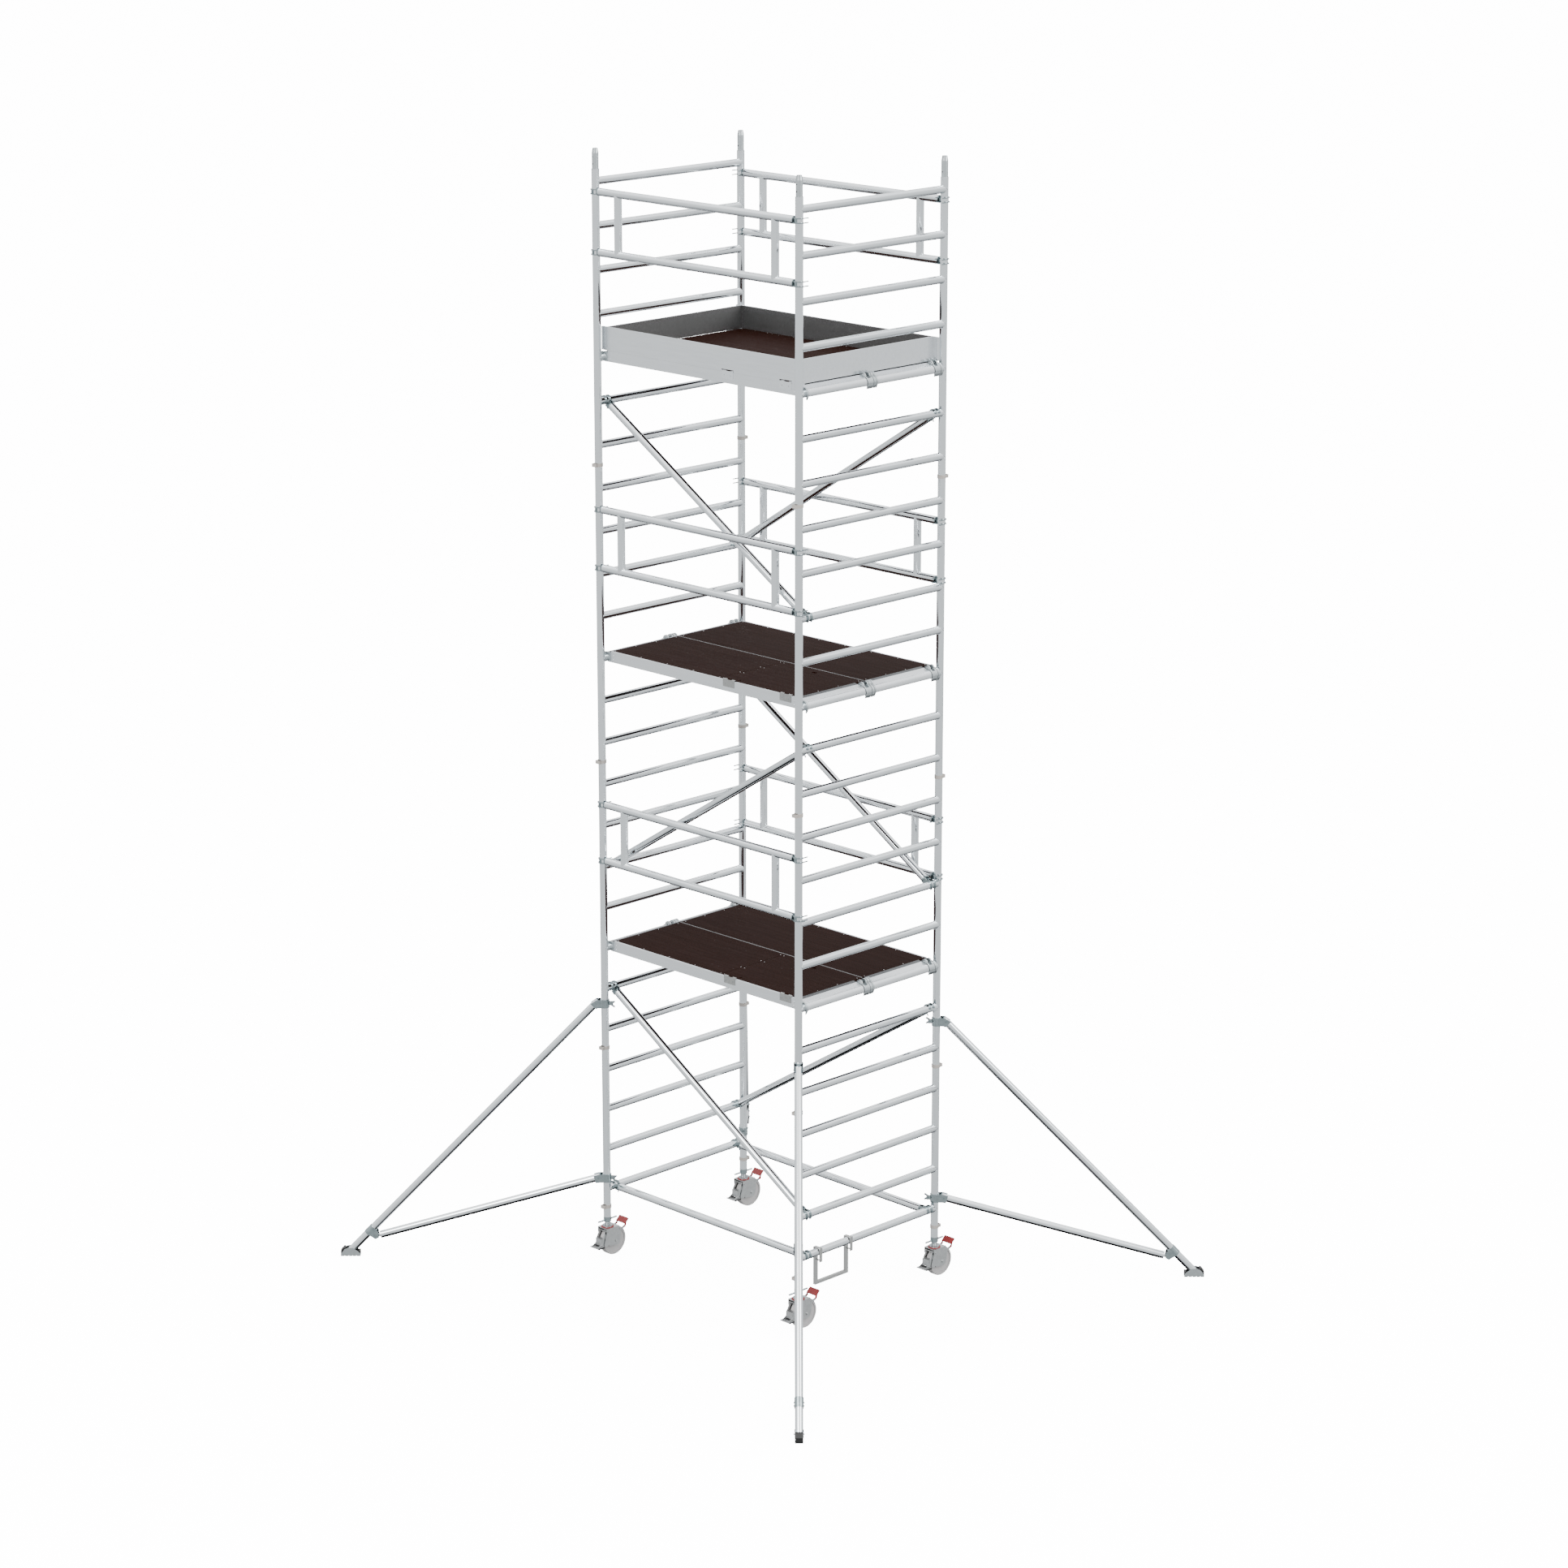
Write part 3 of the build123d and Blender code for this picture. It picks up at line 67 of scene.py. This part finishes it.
class Wire:
    """A shader socket: arithmetic on it adds Math nodes, node() adds any other node."""

    def __init__(self, tree, socket=None):
        self.tree = tree
        self.socket = socket

    def node(self, kind, settings=(), sockets=(), output=0):
        made = self.tree.nodes.new(kind)
        for name, value in dict(settings).items():
            if name == "stops":
                elements = made.color_ramp.elements
                for element, (place, colour) in zip(elements, (value[0], value[-1])):
                    element.position, element.color = place, colour
                for place, colour in value[1:-1]:
                    elements.new(place).color = colour
            else:
                setattr(made, name, value)
        for name, value in dict(sockets).items():
            if isinstance(value, Wire):
                self.tree.links.new(value.socket, made.inputs[name])
            else:
                made.inputs[name].default_value = value
        return Wire(self.tree, made.outputs[output])

    def maths(self, operation, first, second=0.0):
        return self.node("ShaderNodeMath", {"operation": operation}, {0: first, 1: second})

    def __add__(self, other):
        return self.maths("ADD", self, other)

    def __sub__(self, other):
        return self.maths("SUBTRACT", self, other)

    def __rsub__(self, other):
        return self.maths("SUBTRACT", other, self)

    def __mul__(self, other):
        return self.maths("MULTIPLY", self, other)

    def __gt__(self, other):
        return self.maths("GREATER_THAN", self, other)

    def __lt__(self, other):
        return self.maths("LESS_THAN", self, other)

    def __abs__(self):
        return self.maths("ABSOLUTE", self)

    __radd__ = __add__
    __rmul__ = __mul__


sky = bpy.data.worlds.new("studio_sky")
scene.world = sky
sky.use_nodes = True
sky_wire = Wire(sky.node_tree)
direction = sky_wire.node("ShaderNodeTexCoord", output="Generated")
height = direction.node("ShaderNodeSeparateXYZ", sockets={0: direction}, output="Z")
shade = height.node("ShaderNodeValToRGB", {"stops": SKY_STOPS}, {0: height * 0.5 + 0.5})
backdrop = sky.node_tree.nodes["Background"]
sky.node_tree.links.new(shade.socket, backdrop.inputs["Color"])
backdrop.inputs["Strength"].default_value = SKY_STRENGTH

camera_data = bpy.data.cameras.new("camera")
camera_data.lens = CAMERA_LENS
camera_data.sensor_width = CAMERA_FILM
camera_data.clip_end = FLOOR_SIZE
camera = bpy.data.objects.new("camera", camera_data)
camera.location = CAMERA_PLACE
camera.rotation_euler = (math.radians(90 - CAMERA_DOWN), 0, math.radians(CAMERA_TURN))
scene.collection.objects.link(camera)
scene.camera = camera


def soft_light(name, place, size, power):
    """Square area light aimed at the middle of the tower."""
    data = bpy.data.lights.new(name, "AREA")
    data.shape = "SQUARE"
    data.size = size
    data.energy = power
    light = bpy.data.objects.new(name, data)
    light.location = place
    aim = Vector(TOWER_MIDDLE) - Vector(place)
    light.rotation_euler = aim.to_track_quat("-Z", "Y").to_euler()
    scene.collection.objects.link(light)


soft_light("key_light", **KEY_LIGHT)
soft_light("fill_light", **FILL_LIGHT)


class Finish:
    """A material under way: its shader and a wire that carries the piece's own coordinates."""

    def __init__(self, name, metallic, roughness):
        self.material = bpy.data.materials.new(name)
        self.material.use_nodes = True
        tree = self.material.node_tree
        self.shader = tree.nodes["Principled BSDF"]
        self.shader.inputs["Metallic"].default_value = metallic
        self.shader.inputs["Roughness"].default_value = roughness
        self.place = Wire(tree).node("ShaderNodeTexCoord", output="Object")

    def noise(self, scale, detail=2.0, stretch=(1, 1, 1)):
        """Noise value over the piece; stretch draws it out along an axis."""
        place = self.place.node("ShaderNodeMapping", sockets={"Vector": self.place, "Scale": stretch})
        return place.node("ShaderNodeTexNoise", sockets={"Vector": place, "Scale": scale,
                                                         "Detail": detail})

    def axis(self, name):
        """One coordinate of the piece, in metres."""
        return self.place.node("ShaderNodeSeparateXYZ", sockets={0: self.place}, output=name)

    def blend(self, factor, first, second):
        """Colour that runs from first to second with factor."""
        return self.place.node("ShaderNodeMix", {"data_type": "RGBA"},
                               {0: factor, 6: first, 7: second}, output=2)

    def feed(self, socket, wire):
        wire.tree.links.new(wire.socket, self.shader.inputs[socket])

    def bump(self, height_wire, distance):
        """Raise the surface by the wire's value times distance, in metres."""
        self.feed("Normal", height_wire.node("ShaderNodeBump", sockets={
            "Height": height_wire, "Distance": distance, "Strength": 1.0}))


floor_finish = Finish("studio_floor", metallic=0.0, roughness=0.9)
floor_finish.shader.inputs["Base Color"].default_value = FLOOR_COLOUR
floor_finish.shader.inputs["Emission Color"].default_value = FLOOR_COLOUR
floor_finish.shader.inputs["Emission Strength"].default_value = FLOOR_GLOW
bpy.ops.mesh.primitive_plane_add(size=FLOOR_SIZE, location=(0, 0, -FLOOR_DROP))
floor = bpy.context.object
floor.name = "studio_floor"
floor.data.materials.append(floor_finish.material)
floor.visible_glossy = False
floor.visible_diffuse = False
bpy.ops.object.select_all(action="DESELECT")


# ------------------------------------------------------------------ end frames
# Eight ladder frames of drawn aluminium tube, bright with a faint drawing grain. The rungs are
# coped to the posts and welded all round, so each rung end carries a small bead.
TUBE_RADIUS = 0.0254
HALF_X, HALF_Y = 0.9, 0.6375
LOWEST_RUNG = 0.48
RUNG_PITCH = 0.28
FRAME_RUNGS = {"base": range(0, 4), "lower": range(4, 11), "middle": range(11, 18),
               "top": range(18, 25)}
TUBE_LIGHT = (0.84, 0.87, 0.89, 1)
TUBE_DARK = (0.76, 0.79, 0.81, 1)
BEAD_LIGHT = (0.66, 0.69, 0.7, 1)
BEAD_DARK = (0.5, 0.53, 0.55, 1)
BEAD_RADIUS = 0.0017
BEAD_SEGMENTS = 24
BEAD_SECTION = 6


def metal(name, light, dark, roughness, spread, scale=14.0, stretch=(1, 1, 1), grain=0.000004,
          grain_scale=420.0):
    """Bare metal whose shade and roughness drift, with a fine grain in its surface."""
    finish = Finish(name, 1.0, roughness)
    drift = finish.noise(scale, 3.0, stretch)
    finish.feed("Base Color", finish.blend(drift, light, dark))
    finish.feed("Roughness", drift * spread + (roughness - spread / 2))
    finish.bump(finish.noise(grain_scale, 1.0, stretch), grain)
    return finish.material


def dress(names, material):
    """Give the CAD nodes that material."""
    for name in names:
        nodes[name].data.materials.clear()
        nodes[name].data.materials.append(material)


def add_piece(name, mesh, body, material):
    """Object at the origin that rides on a body, in one material."""
    piece = bpy.data.objects.new(name, mesh)
    scene.collection.objects.link(piece)
    mesh.materials.clear()
    mesh.materials.append(material)
    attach(piece, body)
    return piece


def take_model():
    """Mesh of the active object in frame coordinates; the object itself is removed."""
    model = bpy.context.object
    mesh = model.data
    mesh.transform(model.matrix_world)
    bpy.data.objects.remove(model)
    return mesh


def repeat(model, moves, name):
    """One mesh that holds a copy of the model under each move."""
    shape = bmesh.new()
    for move in moves:
        first = len(shape.verts)
        shape.from_mesh(model)
        shape.verts.ensure_lookup_table()
        bmesh.ops.transform(shape, matrix=move, verts=shape.verts[first:])
    bmesh.ops.recalc_face_normals(shape, faces=shape.faces)
    mesh = bpy.data.meshes.new(name)
    shape.to_mesh(mesh)
    shape.free()
    for face in mesh.polygons:
        face.use_smooth = True
    return mesh


def at(x, y, z):
    return Matrix.Translation((x, y, z))


tube_metal = metal("drawn_aluminium", TUBE_LIGHT, TUBE_DARK, roughness=0.1, spread=0.05, scale=8.0)
dress([name for name in nodes if name.startswith("end_frame")], tube_metal)

weld_metal = metal("weld_bead", BEAD_LIGHT, BEAD_DARK, roughness=0.32, spread=0.12, scale=90.0,
                   grain=0.00003)
bpy.ops.mesh.primitive_torus_add(
    major_segments=BEAD_SEGMENTS, minor_segments=BEAD_SECTION, major_radius=TUBE_RADIUS,
    minor_radius=BEAD_RADIUS, rotation=(math.pi / 2, 0, 0))
bead = take_model()
for vertex in bead.vertices:
    vertex.co.y -= min(abs(vertex.co.z), TUBE_RADIUS)
for side, x in (("left", -HALF_X), ("right", HALF_X)):
    for level, rungs in FRAME_RUNGS.items():
        ends = [at(x, end * HALF_Y, LOWEST_RUNG + rung * RUNG_PITCH)
                @ Matrix.Scale(end, 4, (0, 1, 0)) for rung in rungs for end in (-1, 1)]
        name = f"weld_beads_{side}_{level}"
        add_piece(name, repeat(bead, ends, name), "tower", weld_metal)

# ------------------------------------------------------------------ spigots and locking clips
# Cast spigots in the tops of the posts, and pale moulded clips whose pins lock each joint. The
# spigots' pin holes are shown by a near-black plug through each one, painted shade for their insides.
SPIGOT_HOLE = 0.0045
SPIGOT_HOLE_Z = 7.309
SPIGOT_SPAN = 0.0443
CAST_LIGHT = (0.62, 0.65, 0.66, 1)
CAST_DARK = (0.46, 0.5, 0.51, 1)
CLIP_LIGHT = (0.5, 0.46, 0.42, 1)
CLIP_DARK = (0.42, 0.385, 0.35, 1)
HOLE_SHADE_DARK = (0.006, 0.006, 0.007, 1)
HOLE_SHADE_LIGHT = (0.012, 0.012, 0.013, 1)
cast_metal = metal("cast_aluminium", CAST_LIGHT, CAST_DARK, roughness=0.3, spread=0.14, scale=30.0,
                   grain=0.00003)
dress(["spigots"], cast_metal)

clip_finish = Finish("clip_plastic", metallic=0.0, roughness=0.5)
clip_finish.feed("Base Color", clip_finish.blend(clip_finish.noise(40.0), CLIP_LIGHT, CLIP_DARK))
clip_finish.bump(clip_finish.noise(600.0), 0.00002)
dress(["locking_clips"], clip_finish.material)

# Painted shade: a near-black plug stands where the pin holes are dark inside.
hole_shade_finish = Finish("painted_hole_shade", metallic=0.0, roughness=0.55)
hole_shade_finish.feed("Base Color", hole_shade_finish.blend(hole_shade_finish.noise(60.0), HOLE_SHADE_DARK, HOLE_SHADE_LIGHT))
hole_shade_finish.bump(hole_shade_finish.noise(500.0), 0.00002)
bpy.ops.mesh.primitive_cylinder_add(vertices=16, radius=SPIGOT_HOLE, depth=SPIGOT_SPAN,
                                    rotation=(math.pi / 2, 0, 0))
hole = take_model()
tops = [at(x, y, SPIGOT_HOLE_Z) for x in (-HALF_X, HALF_X) for y in (-HALF_Y, HALF_Y)]
add_piece("spigot_pin_holes", repeat(hole, tops, "spigot_pin_holes"), "tower",
          hole_shade_finish.material)

# ------------------------------------------------------------------ braces and guardrails
# Diagonal and horizontal braces of the same tube, with zinc plated hooks that drop over the rungs,
# and guardrails whose claws clip round the posts.
ZINC_LIGHT = (0.4, 0.46, 0.47, 1)
ZINC_DARK = (0.2, 0.24, 0.25, 1)
zinc_metal = metal("zinc_plate", ZINC_LIGHT, ZINC_DARK, roughness=0.2, spread=0.1, scale=45.0,
                   grain=0.00001)
dress(["brace_tubes", "guardrails"], tube_metal)
dress(["brace_hooks", "guardrail_claws"], zinc_metal)

# ------------------------------------------------------------------ platforms
# Extruded side beams and end profiles, cast claws over the rungs, and decks of film faced plywood
# riveted down along their edges. The flanges where two platforms meet are a darker grey, painted
# shade, and the end profiles' outer slopes a near-black grey, a painted dark reflection.
DECK_TOP = 0.05
DECK_X, DECK_Y = 0.842, 0.588
HATCH_X = 0.150
LID_GAP = 0.004
LID_FREE_END = 0.05
END_SLOPE_X = 0.868
PLATFORM_LEVELS = {"lower": 6, "middle": 13, "top": 20}
RIVET_RADIUS = 0.003
RIVET_HEIGHT = 0.0009
RIVET_INSET = 0.014
JOINT_HALF = 0.02
EXTRUSION_LIGHT = (0.84, 0.86, 0.88, 1)
EXTRUSION_DARK = (0.76, 0.78, 0.8, 1)
FLANGE_PAINTED_SHADE = (0.3, 0.3, 0.3, 1)
SLOPE_PAINTED_REFLECTION = (0.12, 0.125, 0.13, 1)
PLY_BROWN = (0.0165, 0.0034, 0.0012, 1)
PLY_DARK = (0.0095, 0.0020, 0.0008, 1)
PLY_GLOSS = 0.03
RIVET_LIGHT = (0.8, 0.8, 0.8, 1)
RIVET_DARK = (0.62, 0.62, 0.62, 1)
RIVET_ROUNDING = 0.9
DIE_LINES = (1, 10, 10)
PLY_GRAIN = (1, 26, 26)


def extruded(name, mask_of, shadow):
    """Mill finish aluminium with die lines along X, in the shadow colour where the mask is 1."""
    finish = Finish(name, metallic=1.0, roughness=0.24)
    drift = finish.noise(5.0, 2.0, DIE_LINES)
    bright = finish.blend(drift, EXTRUSION_LIGHT, EXTRUSION_DARK)
    mask = mask_of(finish)
    finish.feed("Base Color", finish.blend(mask, bright, shadow))
    finish.feed("Roughness", drift * 0.08 + mask * 0.2 + 0.2)
    finish.bump(finish.noise(40.0, 1.0, DIE_LINES), 0.0000006)
    return finish.material


# Painted shade: the beams' flanges within JOINT_HALF of the middle take the darker grey.
dress(["platform_side_beams"], extruded(
    "extruded_beam_painted_flange_shade", lambda f: abs(f.axis("Y")) < JOINT_HALF, FLANGE_PAINTED_SHADE))
# Painted reflection: the end profiles' outer slopes take the near-black grey.
dress(["platform_end_profiles"], extruded(
    "extruded_end_profile_painted_slope_reflection", lambda f: abs(f.axis("X")) < END_SLOPE_X, SLOPE_PAINTED_REFLECTION))
dress(["platform_claws"], cast_metal)

deck_finish = Finish("film_faced_ply", metallic=0.0, roughness=0.6)
deck_finish.shader.inputs["Specular IOR Level"].default_value = PLY_GLOSS
deck_grain = deck_finish.noise(3.0, 5.0, PLY_GRAIN)
deck_finish.feed("Base Color", deck_finish.blend(deck_grain, PLY_BROWN, PLY_DARK))
deck_finish.feed("Roughness", deck_grain * 0.2 + 0.5)
deck_finish.bump(deck_finish.noise(260.0, 1.0), 0.00002)
dress(["decks"] + [f"hatch_{level}" for level in PLATFORM_LEVELS], deck_finish.material)

rivet_metal = metal("deck_rivet", RIVET_LIGHT, RIVET_DARK, roughness=0.3, spread=0.1, scale=120.0)
bpy.ops.mesh.primitive_cylinder_add(vertices=14, radius=RIVET_RADIUS, depth=2 * RIVET_HEIGHT)
dome = bpy.context.object
rounding = dome.modifiers.new("rounded_head", "BEVEL")
rounding.width = RIVET_HEIGHT * RIVET_ROUNDING
rounding.segments = 2
bpy.ops.object.modifier_apply(modifier=rounding.name)
rivet = take_model()


def rivet_rows(x0, x1, y0, y1, along, across):
    """Places of the rivets round a panel: along its long edges and across its ends."""
    length, width = x1 - x0 - 2 * RIVET_INSET, y1 - y0 - 2 * RIVET_INSET
    xs = [x0 + RIVET_INSET + length * step / along for step in range(along + 1)]
    ys = [y0 + RIVET_INSET + width * step / across for step in range(across + 1)]
    outer = ys[0] if abs(y0) > abs(y1) else ys[-1]
    return [(x, outer) for x in xs] + [(x, y) for x in (xs[0], xs[-1]) for y in ys if y != outer]


for level, rung in PLATFORM_LEVELS.items():
    top = LOWEST_RUNG + rung * RUNG_PITCH + DECK_TOP
    near = rivet_rows(-DECK_X, HATCH_X, -DECK_Y, -JOINT_HALF, 4, 3)
    far = rivet_rows(-DECK_X, DECK_X, JOINT_HALF, DECK_Y, 7, 3)
    name = f"deck_rivets_{level}"
    add_piece(name, repeat(rivet, [at(x, y, top) for x, y in near + far], name), "tower",
              rivet_metal)
    lid = rivet_rows(HATCH_X + LID_GAP, DECK_X, -DECK_Y, -JOINT_HALF, 2, 3)
    lid = [place for place in lid
           if place[1] > RIVET_INSET - DECK_Y or place[0] < HATCH_X + LID_FREE_END]
    name = f"hatch_rivets_{level}"
    add_piece(name, repeat(rivet, [at(x, y, top) for x, y in lid], name), f"hatch_{level}",
              rivet_metal)

# ------------------------------------------------------------------ hatch hinges
# Folded zinc plated hinges, two screws in each fixed leaf. The top pair's leaves, which lie
# against the toe board, have the board's pale finish.
HINGE_X = (0.245, 0.75)
HINGE_SCREW_SPREAD = 0.028
HINGE_FACE_Y = -0.6055
HINGE_SCREW_DROP = 0.02
TOP_PAIR_Z = 6.0
HINGE_LIGHT = (0.5, 0.5, 0.49, 1)
HINGE_DARK = (0.3, 0.3, 0.29, 1)
hinge_finish = Finish("hinge_plate", metallic=1.0, roughness=0.3)
hinge_drift = hinge_finish.noise(60.0, 3.0)
covered = hinge_finish.axis("Z") > TOP_PAIR_Z
hinge_shade = hinge_finish.blend(hinge_drift, HINGE_LIGHT, HINGE_DARK)
hinge_finish.feed("Base Color", hinge_finish.blend(covered, hinge_shade, EXTRUSION_LIGHT))
hinge_finish.feed("Roughness", hinge_drift * 0.1 + 0.24)
hinge_finish.bump(hinge_finish.noise(300.0, 1.0), 0.000006)
dress(["hatch_hinges"], hinge_finish.material)

upright_rivet = rivet.copy()
upright_rivet.transform(Matrix.Rotation(math.pi / 2, 4, "X"))
screws = []
for level, rung in PLATFORM_LEVELS.items():
    z = LOWEST_RUNG + rung * RUNG_PITCH + DECK_TOP - HINGE_SCREW_DROP
    screws += [at(x + side * HINGE_SCREW_SPREAD, HINGE_FACE_Y, z)
               for x in HINGE_X for side in (-1, 1)]
add_piece("hinge_screws", repeat(upright_rivet, screws, "hinge_screws"), "tower", zinc_metal)

# ------------------------------------------------------------------ toe boards
# Flat aluminium boards that stand round the top platform's edge. The end boards drop into the
# long ones at a narrow dark joint near each corner. The inner faces are a darker grey, painted shade.
TOE_JOINT = 0.846
TOE_JOINT_WIDTH = 0.0016
TOE_INSIDE_X, TOE_INSIDE_Y = 0.8456, 0.5886
TOE_JOINT_AND_PAINTED_SHADE = (0.25, 0.25, 0.25, 1)


def joint_or_painted_shade_inside(finish):
    """1 in the corner joints, which are dark, and on the boards' inner faces, where it paints shade.
    """
    along, across = abs(finish.axis("X")), abs(finish.axis("Y"))
    joint = (along > TOE_JOINT) * (along < TOE_JOINT + TOE_JOINT_WIDTH) * (across > DECK_Y)
    return joint + (along < TOE_INSIDE_X) * (across < TOE_INSIDE_Y)


# Painted shade: the boards' inner faces take the darker grey, as do the dark corner joints.
dress(["toe_boards"], extruded("extruded_board_painted_inner_shade", joint_or_painted_shade_inside, TOE_JOINT_AND_PAINTED_SHADE))

# ------------------------------------------------------------------ access stirrup
# A galvanised step that hangs on the lowest rung.
STEP_LIGHT = (0.56, 0.56, 0.55, 1)
STEP_DARK = (0.42, 0.42, 0.41, 1)
stirrup_metal = metal("galvanised_step", STEP_LIGHT, STEP_DARK, roughness=0.34, spread=0.14,
                      scale=50.0, grain=0.00001)
dress(["access_stirrup"], stirrup_metal)

# ------------------------------------------------------------------ castors
# Pressed and plated forks with a red race ring, warm grey nylon wheels, plated spindles and nuts,
# a foot pedal with a rubber tip and a red release paddle. The spindle's thread is shown as rings.
RED = (0.22, 0.006, 0.007, 1)
STEEL = (0.6, 0.61, 0.61, 1)
RING_BOTTOM = 0.2062
RUBBER = (0.008, 0.008, 0.008, 1)
WHEEL_LIGHT = (0.5, 0.48, 0.475, 1)
WHEEL_DARK = (0.43, 0.415, 0.41, 1)
THREAD_LIGHT = (0.5, 0.53, 0.54, 1)
THREAD_DARK = (0.34, 0.37, 0.38, 1)
STEEL_DRIFT = 0.7
THREAD_PITCH = 0.008
THREAD_DEPTH = 0.0008
PEDAL_TIP_X, PEDAL_TIP_Y = 0.034, -0.064
PADDLE_Y = 0.110
wheel_finish = Finish("wheel_nylon", metallic=0.0, roughness=0.42)
wheel_finish.feed("Base Color", wheel_finish.blend(wheel_finish.noise(18.0), WHEEL_LIGHT, WHEEL_DARK))
wheel_finish.bump(wheel_finish.noise(300.0), 0.00002)


def two_tone(name, mask_of, colour, base, roughness):
    """Plated steel that turns to a painted or rubber colour where the mask is 1."""
    finish = Finish(name, metallic=1.0, roughness=roughness)
    mask = mask_of(finish)
    drift = finish.noise(40.0, 3.0)
    metal_shade = finish.blend(drift, base, tuple(c * STEEL_DRIFT for c in base[:3]) + (1,))
    finish.feed("Base Color", finish.blend(mask, metal_shade, colour))
    finish.feed("Metallic", 1 - mask)
    finish.feed("Roughness", drift * 0.12 + (roughness - 0.06) + mask * 0.12)
    finish.bump(finish.noise(300.0, 1.0), 0.000008)
    return finish.material


thread_finish = Finish("rolled_thread", metallic=1.0, roughness=0.26)
thread_drift = thread_finish.noise(45.0, 3.0)
thread_finish.feed("Base Color", thread_finish.blend(thread_drift, THREAD_LIGHT, THREAD_DARK))
thread_finish.feed("Roughness", thread_drift * 0.1 + 0.22)
turns = thread_finish.axis("Z") * (2 * math.pi / THREAD_PITCH)
thread_finish.bump(turns.maths("SINE", turns), THREAD_DEPTH)

fork_metal = two_tone("fork_plate_and_ring", lambda f: f.axis("Z") > RING_BOTTOM, RED, STEEL, 0.36)
for corner in ("front", "right", "left", "back"):
    castor = f"castor_{corner}_"
    dress([castor + "fork"], fork_metal)
    dress([castor + "wheel"], wheel_finish.material)
    dress([castor + "spindle"], thread_finish.material)
    dress([castor + "spindle_nut"], zinc_metal)
    pivot = joints[castor + "swivel"]["pos_m"]

    def pedal_tip(f):
        return (f.axis("X") > pivot[0] + PEDAL_TIP_X) * (f.axis("Y") < pivot[1] + PEDAL_TIP_Y)

    def paddle(f):
        return f.axis("Y") > pivot[1] + PADDLE_Y

    dress([castor + "brake_pedal"], two_tone(
        castor + "pedal_steel", pedal_tip, RUBBER, STEEL, 0.36))
    dress([castor + "release_lever"], two_tone(castor + "lever_red", paddle, RED, STEEL, 0.32))

# ------------------------------------------------------------------ outriggers
# Telescopic legs of the same tube with plated clamps and a toothed rubber foot between two plates.
SOLE_HALF = 0.0252
FOOT_STEEL = (0.56, 0.6, 0.61, 1)
for corner in ("front", "right", "left", "back"):
    outrigger = f"outrigger_{corner}_"
    dress([outrigger + "tubes"], tube_metal)
    dress([outrigger + "clamps"], zinc_metal)
    tilt = joints[outrigger + "foot_tilt"]
    side, place = tilt["axis"], tilt["pos_m"]

    def between_plates(f):
        across = (f.axis("X") - place[0]) * side[0] + (f.axis("Y") - place[1]) * side[1]
        return abs(across) < SOLE_HALF

    dress([outrigger + "foot"], two_tone(
        outrigger + "foot_rubber", between_plates, RUBBER, FOOT_STEEL, 0.3))
